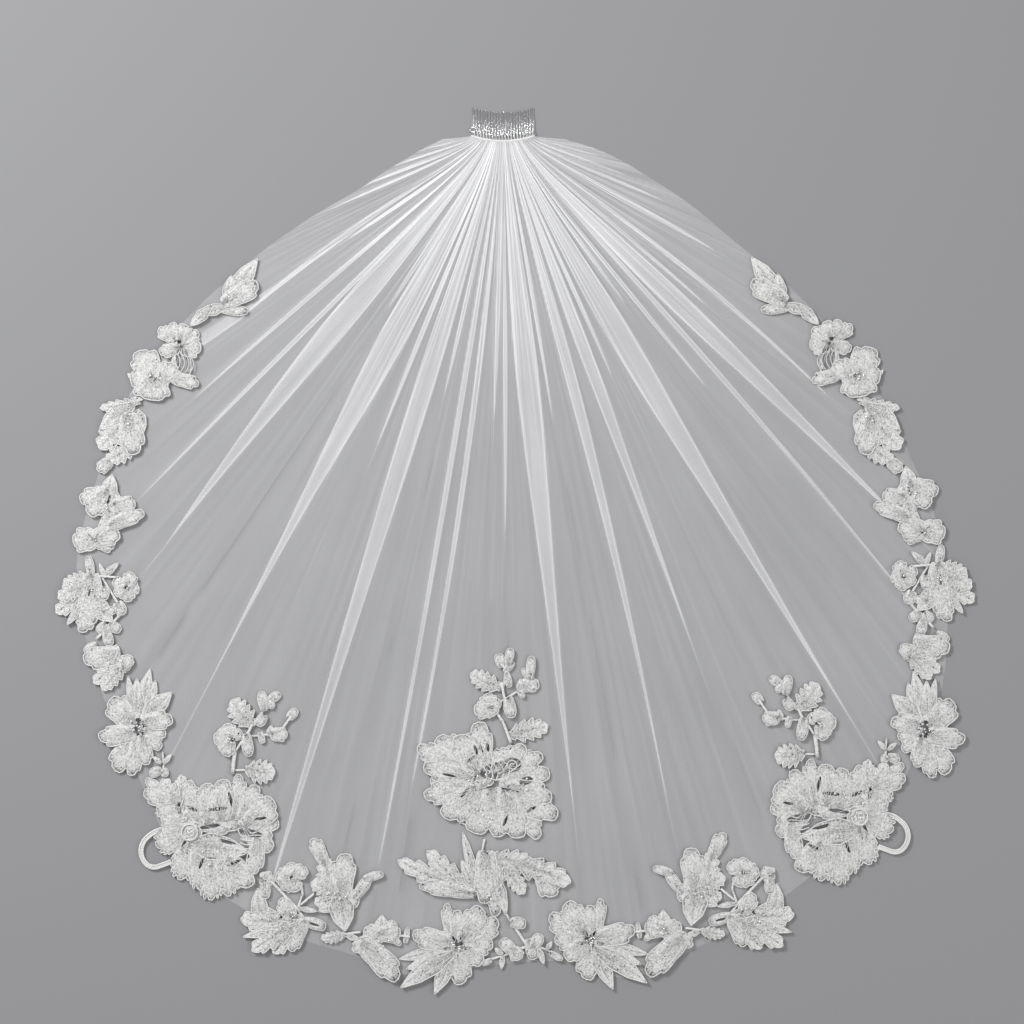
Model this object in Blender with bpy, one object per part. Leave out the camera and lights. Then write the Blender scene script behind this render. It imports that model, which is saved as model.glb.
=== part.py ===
"""A bridal veil of soft tulle, laid flat as a fan, on a silver wire comb, with lace motifs round its hem.

Every piece that a maker cuts or sews on is one object. The veil lies on the plane z = 0. Places on it
are given in millimetres from the middle of the comb's heading: `across` to the right, and `down` from
the comb towards the hem, which is Blender's -Y. Angles are in degrees from straight down, positive to
the right. MM turns these into Blender's metres, and PLACE brings the whole veil's box over the origin.
"""

import math

import bpy
from mathutils import Vector, geometry

MM = 0.001
PLACE = Vector((-15.0, 515.2))  # where the middle of the heading lies, from the centre of the veil's box

# The tulle: one layer is a wall of this height, and a fold lies on it as two more.
LAYER = 1.0
NECK_HEIGHT = 4.6  # how far the gathers stand above one layer at the comb
NECK_REACH = 48.0  # the radius over which they fall to about a third of that
NECK_RIPPLE = 0.8
EDGE_ANGLE = 88.0
GAP = 0.3  # clearance between neighbouring pieces

# The heading: a shallow arc, lowest in the middle, that the binding and the comb's spine follow.
HEADING_WIDTH = 80.0
HEADING_LOW = 4.5
HEADING_RISE = 7.0
BINDING_BREADTH = 3.6
BINDING_HEIGHT = 6.0

# The comb: twenty narrow hairpin teeth of one bent wire, on a spine wire that ends in an eyelet.
TOOTH_COUNT = 20
TOOTH_PITCH = 3.95
TOOTH_GAP = 1.7
TOOTH_WIRE = 0.8
TOOTH_LENGTH = 32.0
TOOTH_TIP_HEIGHT = 0.9
SPINE_WIRE = 1.2
SPINE_HEIGHT = 3.4
SPINE_SETBACK = 2.9
EYELET_RADIUS = 2.7

# The lace: a wall that lies just clear of the tulle.
LACE_BASE = LAYER + GAP
LACE_HEIGHT = 1.0

# The edge of the tulle: angle, radius.
TULLE_EDGE = (
    (-88.0, 62), (-84.0, 80), (-77.0, 122), (-70.0, 188), (-67.0, 275), (-62.8, 385), (-60.2, 462),
    (-55.8, 562), (-50.2, 658), (-45.5, 749), (-40.2, 811), (-33.7, 878), (-29.2, 924), (-24.0, 996),
    (-14.0, 1034), (-10.5, 1036), (-6.9, 1056), (-2.1, 1038), (1.3, 1029), (4.9, 1031), (7.6, 1062),
    (9.7, 1062), (13.2, 1040), (15.6, 1035), (30.1, 962), (33.0, 936), (39.0, 876), (41.8, 832),
    (46.7, 762), (48.9, 716), (52.3, 638), (55.0, 588), (58.4, 510), (62.0, 418), (65.9, 312),
    (74.6, 188), (81.5, 126), (88.0, 62),
)  # fmt: skip

# The largest folds, from the left: angle at the comb, angle at the hem, width at FOLD_WIDEST, radius
# where it ends, power of its taper, height above one layer.
FOLD_WIDEST = 300.0
FOLDS = (
    (-61.0, -56.0, 6, 318, 0.6, 1.2),
    (-50.0, -50.0, 6, 480, 0.6, 1.2),
    (-43.8, -39.6, 39, 655, 1.5, 2.0),
    (-28.9, -28.2, 44, 830, 2.4, 2.0),
    (-17.3, -17.3, 28, 875, 0.5, 2.0),
    (-8.6, -9.8, 7, 870, 0.6, 1.4),
    (-3.6, -8.0, 6, 740, 0.6, 1.4),
    (6.0, 5.6, 36, 800, 1.0, 2.0),
    (17.0, 14.6, 20, 860, 1.6, 2.0),
    (21.4, 20.6, 24, 700, 1.4, 2.0),
    (30.3, 31.4, 35, 860, 1.5, 2.0),
    (46.2, 45.6, 35, 630, 1.3, 2.0),
    (58.0, 52.4, 6, 455, 0.6, 1.2),
)

# Lace. Each row is one petal, leaf, bud or stem: its kind, where it starts (across, down), where its
# tip is (across, down), and its width.
LEAF_SPRAY = (
    ("point", -342, 206, -307, 152, 25), ("blade", -346, 208, -339, 172, 14),
    ("petal", -350, 208, -307, 184, 24), ("bud", -358, 212, -319, 217, 13),
    ("blade", -345, 210, -379, 220, 15), ("blade", -364, 210, -390, 235, 15),
)  # fmt: skip
BLOSSOM_PAIR = (
    ("petal", -409, 252, -430, 240, 19), ("petal", -408, 254, -413, 232, 17),
    ("petal", -403, 254, -397, 234, 19), ("petal", -401, 256, -381, 243, 18),
    ("petal", -402, 260, -378, 262, 26), ("petal", -405, 262, -428, 268, 17),
    ("petal", -401, 254, -402, 302, 26), ("petal", -414, 299, -381, 307, 18),
    ("petal", -430, 304, -410, 284, 26), ("petal", -435, 306, -453, 267, 34),
    ("petal", -432, 300, -464, 303, 36), ("petal", -437, 298, -439, 327, 42),
    ("blade", -455, 308, -469, 294, 7),
)  # fmt: skip
BUD_AND_LEAVES = (
    ("blade", -466, 327, -450, 327, 7), ("leaf", -452, 330, -503, 338, 15),
    ("point", -462, 334, -503, 364, 24), ("point", -460, 340, -450, 370, 22),
    ("leaf", -458, 338, -504, 388, 36), ("petal", -470, 345, -460, 394, 30),
    ("leaf", -456, 376, -494, 404, 26), ("petal", -490, 404, -505, 416, 17),
)  # fmt: skip
ROSE = (
    ("petal", -492, 446, -527, 453, 28), ("point", -494, 456, -488, 421, 22),
    ("petal", -492, 440, -517, 469, 26), ("petal", -498, 440, -480, 470, 30),
    ("petal", -488, 458, -460, 457, 21), ("petal", -492, 486, -450, 468, 20),
    ("petal", -489, 462, -500, 498, 18), ("petal", -508, 502, -536, 504, 32),
    ("petal", -512, 502, -480, 494, 28), ("petal", -510, 504, -486, 510, 18),
)  # fmt: skip
SPRAY = (
    ("bud", -514, 548, -518, 523, 11), ("leaf", -512, 548, -549, 558, 22),
    ("leaf", -512, 556, -555, 575, 24), ("leaf", -512, 564, -558, 593, 26),
    ("petal", -514, 544, -514, 606, 32), ("blade", -530, 588, -544, 608, 9),
    ("petal", -514, 578, -525, 617, 24), ("point", -514, 580, -488, 604, 24),
    ("stem", -512, 547, -483, 549, 4), ("blade", -498, 549, -504, 532, 6),
    ("blade", -500, 549, -480, 531, 9), ("petal", -470, 562, -463, 544, 17),
    ("petal", -470, 562, -455, 565, 17), ("petal", -470, 562, -468, 579, 17),
    ("petal", -470, 562, -484, 570, 17), ("bud", -470, 562, -486, 552, 15),
    ("stem", -502, 547, -478, 586, 4), ("bud", -498, 560, -500, 577, 14),
    ("bud", -482, 580, -475, 596, 16), ("stem", -476, 594, -508, 626, 5),
    ("bud", -500, 592, -484, 590, 11), ("bud", -492, 606, -478, 616, 13),
    ("bud", -496, 606, -506, 617, 11), ("bud", -496, 614, -491, 634, 12),
)  # fmt: skip
LEAF_PAIR = (
    ("bud", -506, 634, -522, 643, 15), ("petal", -478, 644, -522, 652, 28),
    ("blade", -488, 652, -482, 633, 14), ("leaf", -466, 648, -511, 681, 24),
    ("leaf", -470, 652, -500, 690, 20), ("petal", -474, 664, -466, 647, 18),
)  # fmt: skip
LILY = (
    ("point", -452, 726, -441, 664, 20), ("point", -456, 726, -457, 676, 19),
    ("blade", -462, 722, -468, 673, 11), ("blade", -446, 722, -434, 678, 15),
    ("point", -448, 726, -414, 693, 24), ("petal", -452, 732, -414, 726, 24),
    ("petal", -452, 738, -422, 744, 22), ("petal", -460, 734, -490, 703, 36),
    ("petal", -458, 742, -503, 749, 26), ("petal", -458, 746, -484, 789, 28),
    ("petal", -454, 748, -464, 795, 22), ("petal", -450, 746, -447, 782, 20),
    ("petal", -450, 742, -428, 762, 20),
)  # fmt: skip
SPRIG = (
    ("stem", -425, 767, -424, 792, 4), ("blade", -424, 782, -414, 770, 6),
    ("blade", -426, 782, -437, 773, 6), ("bud", -426, 790, -441, 795, 12),
    ("bud", -427, 793, -418, 792, 11),
)  # fmt: skip
BOUQUET = (
    ("bud", -418, 822, -446, 802, 14), ("petal", -410, 830, -447, 818, 22),
    ("leaf", -402, 846, -425, 801, 24), ("leaf", -400, 846, -402, 796, 20),
    ("petal", -398, 850, -432, 838, 22), ("petal", -395, 856, -426, 852, 22),
    ("petal", -380, 856, -394, 805, 26), ("petal", -366, 856, -371, 808, 32),
    ("petal", -352, 852, -350, 803, 34), ("petal", -336, 852, -329, 797, 19),
    ("petal", -326, 852, -309, 810, 26), ("petal", -322, 862, -287, 829, 34),
    ("petal", -330, 862, -282, 855, 30), ("petal", -326, 858, -290, 888, 30),
    ("petal", -306, 874, -312, 918, 22), ("petal", -402, 850, -330, 856, 34),
    ("petal", -395, 868, -432, 884, 36), ("petal", -405, 862, -378, 872, 26),
    ("petal", -390, 876, -402, 926, 36), ("petal", -382, 880, -378, 938, 28),
    ("point", -392, 882, -318, 892, 34), ("petal", -368, 896, -364, 951, 30),
    ("petal", -350, 894, -344, 946, 28), ("petal", -344, 900, -316, 934, 28),
)  # fmt: skip
BOUQUET_SPRIG = (
    ("petal", -340, 752, -346, 733, 22), ("petal", -338, 750, -360, 751, 24),
    ("petal", -340, 752, -347, 771, 18), ("bud", -338, 750, -327, 741, 14),
    ("stem", -338, 795, -334, 762, 7), ("stem", -334, 766, -322, 748, 4),
    ("stem", -324, 749, -290, 745, 4), ("leaf", -312, 736, -338, 702, 30),
    ("stem", -312, 730, -322, 750, 5), ("stem", -311, 729, -296, 712, 4),
    ("bud", -298, 716, -302, 692, 13), ("stem", -297, 714, -290, 702, 4),
    ("bud", -292, 704, -279, 694, 12), ("bud", -294, 706, -286, 711, 9),
    ("bud", -298, 720, -306, 734, 13), ("blade", -293, 748, -289, 734, 8),
    ("petal", -290, 744, -270, 745, 18), ("stem", -280, 744, -264, 722, 4),
    ("bud", -268, 726, -258, 714, 12), ("bud", -304, 742, -300, 756, 8),
    ("bud", -320, 744, -317, 772, 14), ("stem", -336, 790, -318, 790, 4),
    ("leaf", -322, 789, -285, 793, 30),
)  # fmt: skip
HEM_LEAF = (
    ("leaf", -250, 976, -327, 976, 34), ("blade", -252, 980, -324, 998, 16),
    ("leaf", -250, 978, -313, 1015, 28), ("leaf", -248, 980, -287, 1018, 26),
    ("petal", -246, 976, -264, 1015, 18), ("petal", -262, 974, -277, 951, 20),
    ("point", -300, 980, -306, 938, 22), ("petal", -262, 924, -266, 906, 20),
    ("petal", -265, 922, -245, 914, 20), ("petal", -266, 924, -258, 941, 20),
    ("petal", -264, 922, -274, 939, 18), ("petal", -264, 924, -283, 922, 20),
    ("petal", -304, 926, -286, 926, 18), ("bud", -298, 930, -297, 950, 13),
    ("stem", -290, 928, -254, 966, 5), ("stem", -252, 932, -250, 946, 4),
    ("stem", -250, 944, -258, 966, 4), ("stem", -258, 962, -236, 944, 4),
    ("stem", -260, 960, -248, 976, 5), ("bud", -250, 978, -222, 986, 14),
    ("blade", -256, 962, -232, 966, 7),
)  # fmt: skip
TULIP = (
    ("petal", -206, 948, -224, 900, 24), ("petal", -202, 948, -197, 896, 32),
    ("point", -204, 946, -239, 930, 20), ("bud", -206, 950, -235, 956, 16),
    ("blade", -200, 954, -230, 966, 14), ("point", -206, 944, -197, 990, 32),
    ("petal", -206, 942, -181, 956, 26), ("bud", -186, 950, -166, 922, 14),
    ("bud", -174, 926, -150, 919, 11), ("petal", -222, 908, -237, 876, 17),
)  # fmt: skip
SMALL_LEAF = (
    ("leaf", -195, 995, -227, 1000, 15), ("stem", -200, 995, -178, 992, 4),
    ("blade", -196, 996, -180, 1000, 8),
)  # fmt: skip
BUD_LEAF = (
    ("point", -150, 1000, -151, 971, 20), ("petal", -148, 996, -173, 992, 24),
    ("petal", -156, 994, -129, 994, 22), ("bud", -144, 992, -136, 979, 14),
    ("bud", -140, 996, -128, 1008, 8), ("stem", -132, 996, -116, 998, 4),
    ("bud", -122, 1006, -119, 987, 7), ("petal", -166, 1000, -186, 1016, 18),
    ("petal", -176, 1004, -132, 1049, 32),
)  # fmt: skip
HEM_FLOWER = (
    ("petal", -64, 1004, -71, 958, 17), ("petal", -58, 1004, -57, 966, 19),
    ("petal", -52, 1004, -27, 963, 29), ("petal", -48, 1006, -8, 978, 28),
    ("petal", -50, 1008, -14, 1006, 28), ("petal", -52, 1010, -27, 1030, 26),
    ("petal", -60, 1010, -52, 1056, 32), ("point", -62, 1012, -85, 1069, 22),
    ("petal", -60, 1006, -111, 996, 28), ("blade", -60, 1012, -129, 1026, 16),
    ("point", -62, 1014, -120, 1038, 20), ("point", -62, 1018, -127, 1061, 24),
)  # fmt: skip
CENTRE_ROSE = (
    ("petal", -26, 795, -30, 732, 34), ("petal", -32, 795, -53, 747, 34),
    ("petal", -36, 795, -80, 750, 34), ("petal", -50, 790, -105, 762, 26),
    ("petal", -36, 798, -97, 786, 28), ("petal", -36, 804, -89, 806, 28),
    ("petal", -36, 808, -96, 823, 30), ("petal", -34, 812, -72, 848, 38),
    ("petal", -24, 812, -36, 867, 44), ("petal", -14, 812, -4, 871, 36),
    ("petal", 2, 814, 18, 873, 34), ("petal", 12, 826, 44, 873, 26),
    ("petal", 4, 820, 66, 846, 32), ("petal", 4, 812, 59, 824, 30),
    ("petal", -6, 802, 56, 794, 30), ("petal", -8, 798, 47, 771, 28),
    ("petal", -10, 796, 26, 761, 26), ("petal", -14, 796, 3, 763, 24),
)  # fmt: skip
CENTRE_SPRIG = (
    ("petal", -16, 714, -20, 695, 22), ("petal", -14, 713, -35, 715, 22),
    ("petal", -18, 711, -9, 720, 18), ("bud", -16, 712, -4, 703, 13),
    ("stem", -12, 712, 0, 730, 5), ("stem", -1, 727, 10, 756, 5),
    ("stem", -8, 708, 24, 688, 4), ("leaf", -2, 688, -40, 669, 24),
    ("stem", 3, 704, -2, 680, 5), ("bud", -1, 662, -6, 645, 12),
    ("stem", 0, 690, 5, 656, 4), ("bud", 6, 658, 10, 638, 10),
    ("bud", 2, 668, 13, 655, 9), ("bud", 4, 668, 8, 686, 9),
    ("stem", 4, 664, -2, 657, 4), ("petal", 22, 686, 44, 682, 19),
    ("blade", 20, 692, 22, 676, 8), ("bud", 34, 676, 36, 648, 11),
    ("bud", 32, 676, 24, 663, 7), ("bud", 18, 690, 26, 699, 7),
    ("bud", 7, 698, 11, 724, 15), ("leaf", 6, 747, 56, 735, 27),
)  # fmt: skip
CENTRE_LEAVES = (
    ("leaf", -34, 948, -94, 891, 26), ("leaf", -38, 944, -131, 903, 26),
    ("petal", -36, 944, -102, 933, 18), ("blade", -32, 940, -50, 868, 13),
    ("blade", -32, 944, -52, 902, 14), ("petal", -22, 890, -22, 954, 30),
    ("petal", -14, 896, -8, 970, 26), ("petal", -24, 902, 38, 904, 22),
    ("petal", 8, 904, 84, 930, 26), ("petal", 48, 916, 62, 947, 26),
    ("leaf", 0, 908, 26, 944, 22), ("blade", -8, 920, 4, 968, 16),
    ("stem", -27, 896, -23, 876, 4), ("stem", 0, 964, 32, 1012, 5),
    ("bud", 9, 980, 28, 982, 15), ("bud", 32, 1000, 38, 1026, 15),
    ("bud", 36, 1012, 47, 995, 15), ("blade", 44, 1010, 51, 1032, 8),
    ("stem", 40, 1008, 72, 1023, 4), ("blade", 54, 1014, 61, 1004, 6),
    ("bud", 58, 1017, 74, 1026, 8), ("stem", 34, 1010, 14, 1014, 5),
    ("bud", 16, 1018, -2, 1002, 15), ("petal", 12, 1012, 20, 1026, 17),
    ("stem", 12, 1018, -22, 1028, 4), ("blade", 0, 1020, -10, 1012, 7),
    ("bud", -14, 1026, -26, 1032, 7), ("blade", 0, 1021, -2, 1038, 7),
)  # fmt: skip
# Each bouquet's cord: it leaves the petals, rounds its loop and comes back to them.
BOUQUET_CORD = (
    (-408, 862), (-426, 863), (-443, 871), (-453, 885), (-451, 902), (-439, 913), (-424, 908), (-404, 900),
)  # fmt: skip
CORD_WIDTH = 6.0

# Where the lace lies: node, its rows, and for the right-hand copy of a left-hand motif the mirror's
# shift across and the shift down. The two sides were laid by hand, so each pair has its own shifts.
MIDDLE_LACE = (
    ("lace_centre_rose", CENTRE_ROSE),
    ("lace_centre_sprig", CENTRE_SPRIG),
    ("lace_centre_leaves", CENTRE_LEAVES),
)
PAIRED_LACE = (
    ("lace_leaf_spray", LEAF_SPRAY, 4, -2),
    ("lace_blossom_pair", BLOSSOM_PAIR, 6, -4),
    ("lace_bud_and_leaves", BUD_AND_LEAVES, -8, 0),
    ("lace_rose", ROSE, 15, -10),
    ("lace_spray", SPRAY, 30, -14),
    ("lace_leaf_pair", LEAF_PAIR, 34, -14),
    ("lace_lily", LILY, 72, 3),
    ("lace_sprig", SPRIG, 54, -17),
    ("lace_bouquet", BOUQUET, 54, -19),
    ("lace_bouquet_sprig", BOUQUET_SPRIG, 55, -20),
    ("lace_hem_leaf", HEM_LEAF, 36, -6),
    ("lace_tulip", TULIP, 38, -7),
    ("lace_small_leaf", SMALL_LEAF, 50, -5),
    ("lace_bud_leaf", BUD_LEAF, 49, -6),
    ("lace_hem_flower", HEM_FLOWER, 52, -6),
)

# Half outlines of the lace, from a piece's start (0) to its tip (1): along, half breadth.
HALF_OUTLINES = {
    "petal": ((0.0, 0.35), (0.38, 0.9), (0.78, 0.95), (1.0, 0.38)),
    "bud": ((0.0, 0.4), (0.6, 1.0), (1.0, 0.35)),
    "point": ((0.0, 0.3), (0.35, 0.95), (0.7, 0.75), (1.0, 0.06)),
    "blade": ((0.0, 0.3), (0.45, 1.0), (1.0, 0.06)),
    "leaf": ((0.0, 0.2), (0.32, 0.95), (0.42, 0.72), (0.64, 0.95), (1.0, 0.08)),
    "stem": ((0.0, 1.0), (1.0, 1.0)),
}


def clear_scene():
    for obj in list(bpy.data.objects):
        bpy.data.objects.remove(obj, do_unlink=True)


def make_material(name, colour, roughness, metallic=0.0):
    material = bpy.data.materials.new(name)
    material.use_nodes = True
    shader = material.node_tree.nodes["Principled BSDF"]
    shader.inputs["Base Color"].default_value = (*colour, 1.0)
    shader.inputs["Roughness"].default_value = roughness
    shader.inputs["Metallic"].default_value = metallic
    material.diffuse_color = (*colour, 1.0)
    return material


def on_veil(across, down, height):
    """The point in Blender's metres."""
    return Vector((PLACE.x + across, PLACE.y - down, height)) * MM


def add_mesh(name, points, faces, material):
    mesh = bpy.data.meshes.new(name)
    mesh.from_pydata(points, [], faces)
    mesh.materials.append(material)
    mesh.validate()
    obj = bpy.data.objects.new(name, mesh)
    bpy.context.scene.collection.objects.link(obj)
    return obj


def add_wire(name, route, diameter, material):
    """A round wire with closed ends along the route's points."""
    curve = bpy.data.curves.new(name, "CURVE")
    curve.dimensions = "3D"
    curve.bevel_depth = diameter / 2 * MM
    curve.bevel_resolution = 1
    curve.use_fill_caps = True
    spline = curve.splines.new("POLY")
    spline.points.add(len(route) - 1)
    for point, place in zip(spline.points, route):
        point.co = (*on_veil(*place), 1.0)
    curve.materials.append(material)
    obj = bpy.data.objects.new(name, curve)
    bpy.context.scene.collection.objects.link(obj)
    return obj


def between(table, x):
    """The second column of a table at x in its first, on straight lines between rows."""
    for (x0, y0), (x1, y1) in zip(table, table[1:]):
        if x <= x1:
            return y0 + (y1 - y0) * (x - x0) / (x1 - x0)
    return table[-1][1]


def heading_down(across):
    """How far down the heading's arc lies at this place across."""
    return HEADING_LOW - HEADING_RISE * (2 * across / HEADING_WIDTH) ** 2


# The tulle panel


def fold_shape(fold, radius):
    """A fold's middle angle, the half angle it covers and its height, at a radius."""
    comb_angle, hem_angle, width, end, power, height = fold
    along = min(radius / end, 1.0)
    left = max(0.0, min(1.0, (end - radius) / (end - FOLD_WIDEST)))
    half_angle = math.degrees(width * left**power / 2 / max(radius, FOLD_WIDEST))
    middle = comb_angle + (hem_angle - comb_angle) * along
    return middle, max(half_angle, 0.12), height * min(1.0, 3.0 * left)


def column_angles(radius):
    """The angle of every grid line at a radius, with the height that its fold adds there."""
    lines = []
    foot = -EDGE_ANGLE
    gap_lines = 4
    for fold in FOLDS:
        middle, half_angle, height = fold_shape(fold, radius)
        side = max(0.25 * half_angle, 0.1)
        left_foot = middle - half_angle - side
        for i in range(gap_lines):
            lines.append((foot + (left_foot - foot) * i / gap_lines, 0.0))
        lines += [(left_foot, 0.0), (middle - half_angle, height), (middle + half_angle, height)]
        foot = middle + half_angle + side
        gap_lines = 3
    gap_lines = 4
    for i in range(gap_lines + 1):
        lines.append((foot + (EDGE_ANGLE - foot) * i / gap_lines, 0.0))
    return lines


def build_tulle(material):
    """One wall: gathered at the heading, fanned out to the hem, raised where the cloth folds over itself."""
    shares = (0.0, 0.03, 0.065, 0.11, 0.17, 0.25, 0.35, 0.47, 0.59, 0.71, 0.84, 1.0)
    hem_angles = [angle for angle, _ in column_angles(1000.0)]
    reaches = [between(TULLE_EDGE, angle) for angle in hem_angles]
    half = HEADING_WIDTH / 2 - 0.5
    top = []
    for share in shares:
        for i, reach in enumerate(reaches):
            radius = share * reach
            angle, fold_height = column_angles(radius)[i]
            start = Vector((half * angle / EDGE_ANGLE, 0.0))
            start.y = heading_down(start.x) + BINDING_BREADTH / 2 + GAP
            turn = math.radians(angle)
            end = Vector((math.sin(turn), math.cos(turn))) * reach
            place = start.lerp(end, share)
            neck = math.exp(-radius / NECK_REACH)
            ripple = NECK_RIPPLE * neck * (1 if i % 2 else -1)
            top.append((place, LAYER + fold_height * (1 - neck) + NECK_HEIGHT * neck + ripple))
    columns = len(reaches)
    rows = len(shares)
    rim = list(range(columns))
    rim += [row * columns + columns - 1 for row in range(1, rows)]
    rim += [(rows - 1) * columns + i for i in range(columns - 2, -1, -1)]
    rim += [row * columns for row in range(rows - 2, 0, -1)]
    points = [on_veil(place.x, place.y, height) for place, height in top]
    points += [on_veil(top[i][0].x, top[i][0].y, 0.0) for i in rim]
    faces = []
    for row in range(rows - 1):
        for i in range(columns - 1):
            a = row * columns + i
            faces.append((a, a + columns, a + columns + 1, a + 1))
    under = len(top)
    for k, i in enumerate(rim):
        following = (k + 1) % len(rim)
        faces.append((i, rim[following], under + following, under + k))
    faces.append(tuple(under + k for k in range(len(rim))))
    return add_mesh("tulle_panel", points, faces, material)


# The heading and the comb


def build_binding(material):
    """The stitched strip that holds the gathers to the comb: a bar with a rounded top along the arc."""
    section = ((-0.5, 0.0), (0.5, 0.0), (0.5, 0.7), (0.25, 1.0), (-0.25, 1.0), (-0.5, 0.7))
    stations = 17
    points = []
    for i in range(stations):
        across = HEADING_WIDTH * (i / (stations - 1) - 0.5)
        for breadth, height in section:
            down = heading_down(across) + breadth * BINDING_BREADTH
            points.append(on_veil(across, down, height * BINDING_HEIGHT))
    n = len(section)
    faces = [tuple(range(n)), tuple(range((stations - 1) * n + n - 1, (stations - 1) * n - 1, -1))]
    for i in range(stations - 1):
        for k in range(n):
            a, b = i * n + k, i * n + (k + 1) % n
            faces.append((a, a + n, b + n, b))
    return add_mesh("heading_binding", points, faces, material)


def build_comb(material):
    """The spine wire with its eyelet, and one wire bent into narrow hairpin teeth beside it."""
    spine = []
    steps = 24
    for i in range(steps + 1):
        across = HEADING_WIDTH * (0.5 - i / steps) * 0.97
        spine.append((across, heading_down(across) - SPINE_SETBACK, SPINE_HEIGHT))
    end_across, end_down, _ = spine[-1]
    for i in range(1, 11):
        turn = math.radians(30 * i)
        across = end_across - EYELET_RADIUS * math.sin(turn)
        down = end_down - EYELET_RADIUS * (1 - math.cos(turn))
        spine.append((across, down, SPINE_HEIGHT + 0.12 * i))
    add_wire("comb_spine", spine, SPINE_WIRE, material)

    teeth = []
    for i in range(TOOTH_COUNT):
        middle = TOOTH_PITCH * (i - (TOOTH_COUNT - 1) / 2)
        root = heading_down(middle) - SPINE_SETBACK - (SPINE_WIRE + TOOTH_WIRE) / 2 - GAP
        half = TOOTH_GAP / 2
        for side, order in ((-1, (0, 1, 2)), (1, (2, 1, 0))):
            for step in order:
                along = step / 2
                bend = 1 - (1 - along) ** 2
                height = SPINE_HEIGHT + (TOOTH_TIP_HEIGHT - SPINE_HEIGHT) * bend
                teeth.append((middle + side * half, root - TOOTH_LENGTH * along, height))
            if side < 0:
                tip_down = root - TOOTH_LENGTH - half * 0.8
                teeth.append((middle - half * 0.5, tip_down, TOOTH_TIP_HEIGHT))
                teeth.append((middle + half * 0.5, tip_down, TOOTH_TIP_HEIGHT))
    add_wire("comb_teeth", teeth, TOOTH_WIRE, material)


# The lace


def piece_outline(kind, base_across, base_down, tip_across, tip_down, width):
    """The closed outline of one petal, leaf or stem, in millimetres on the veil."""
    base = Vector((base_across, base_down))
    run = Vector((tip_across, tip_down)) - base
    side = Vector((-run.y, run.x)).normalized() * (width / 2)
    half = HALF_OUTLINES[kind]
    left = [base + run * along - side * breadth for along, breadth in half]
    right = [base + run * along + side * breadth for along, breadth in reversed(half)]
    return left + right


def cord_outline(route, width):
    """The closed outline of a band of even width along a route."""
    left, right = [], []
    for i, point in enumerate(route):
        before = Vector(route[max(i - 1, 0)])
        after = Vector(route[min(i + 1, len(route) - 1)])
        run = (after - before).normalized()
        side = Vector((-run.y, run.x)) * (width / 2)
        left.append(Vector(point) - side)
        right.append(Vector(point) + side)
    return left + right[::-1]


def build_lace(name, outlines, material):
    """Joins the outlines where they overlap, and raises the shape that they cover into one wall."""
    corners, loops = [], []
    for outline in outlines:
        loops.append(list(range(len(corners), len(corners) + len(outline))))
        corners += outline
    flat, _, cells, _, _, owners = geometry.delaunay_2d_cdt(corners, [], loops, 1, 0.01)
    cells = [cell for cell, owner in zip(cells, owners) if owner]
    used = sorted({i for cell in cells for i in cell})
    place = {i: k for k, i in enumerate(used)}
    count = len(used)
    points = [on_veil(flat[i].x, flat[i].y, LACE_BASE) for i in used]
    points += [on_veil(flat[i].x, flat[i].y, LACE_BASE + LACE_HEIGHT) for i in used]
    faces, edges = [], {}
    for cell in cells:
        a, b, c = (place[i] for i in cell)
        faces += [(a, b, c), (c + count, b + count, a + count)]
        for edge in ((a, b), (b, c), (c, a)):
            edges[edge] = edge[::-1] not in edges
            if not edges[edge]:
                edges[edge[::-1]] = False
    faces += [(b, a, a + count, b + count) for (a, b), rim in edges.items() if rim]
    return add_mesh(name, points, faces, material)


def build_all_lace(material):
    for name, rows in MIDDLE_LACE:
        build_lace(name, [piece_outline(*row) for row in rows], material)
    for name, rows, mirror_shift, drop in PAIRED_LACE:
        outlines = [piece_outline(*row) for row in rows]
        if name == "lace_bouquet":
            outlines.append(cord_outline(BOUQUET_CORD, CORD_WIDTH))
        build_lace(name + "_left", outlines, material)
        mirrored = [
            [Vector((mirror_shift - point.x, point.y + drop)) for point in reversed(outline)]
            for outline in outlines
        ]
        build_lace(name + "_right", mirrored, material)


clear_scene()
build_tulle(make_material("tulle", (0.86, 0.86, 0.87), 0.8))
build_binding(make_material("binding", (0.88, 0.88, 0.88), 0.7))
build_comb(make_material("comb_wire", (0.72, 0.72, 0.74), 0.25, 1.0))
build_all_lace(make_material("lace", (0.93, 0.93, 0.92), 0.75))
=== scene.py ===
"""The looks of a bridal veil that lies fanned out flat: soft tulle gathered on a silver wire comb, with
embroidered lace motifs and beads along its hem.

Places on the veil are in millimetres from the middle of the comb's heading: `across` to the right, and
`down` from the comb towards the hem. Angles are in degrees from straight down, positive to the right.
"""

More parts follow.
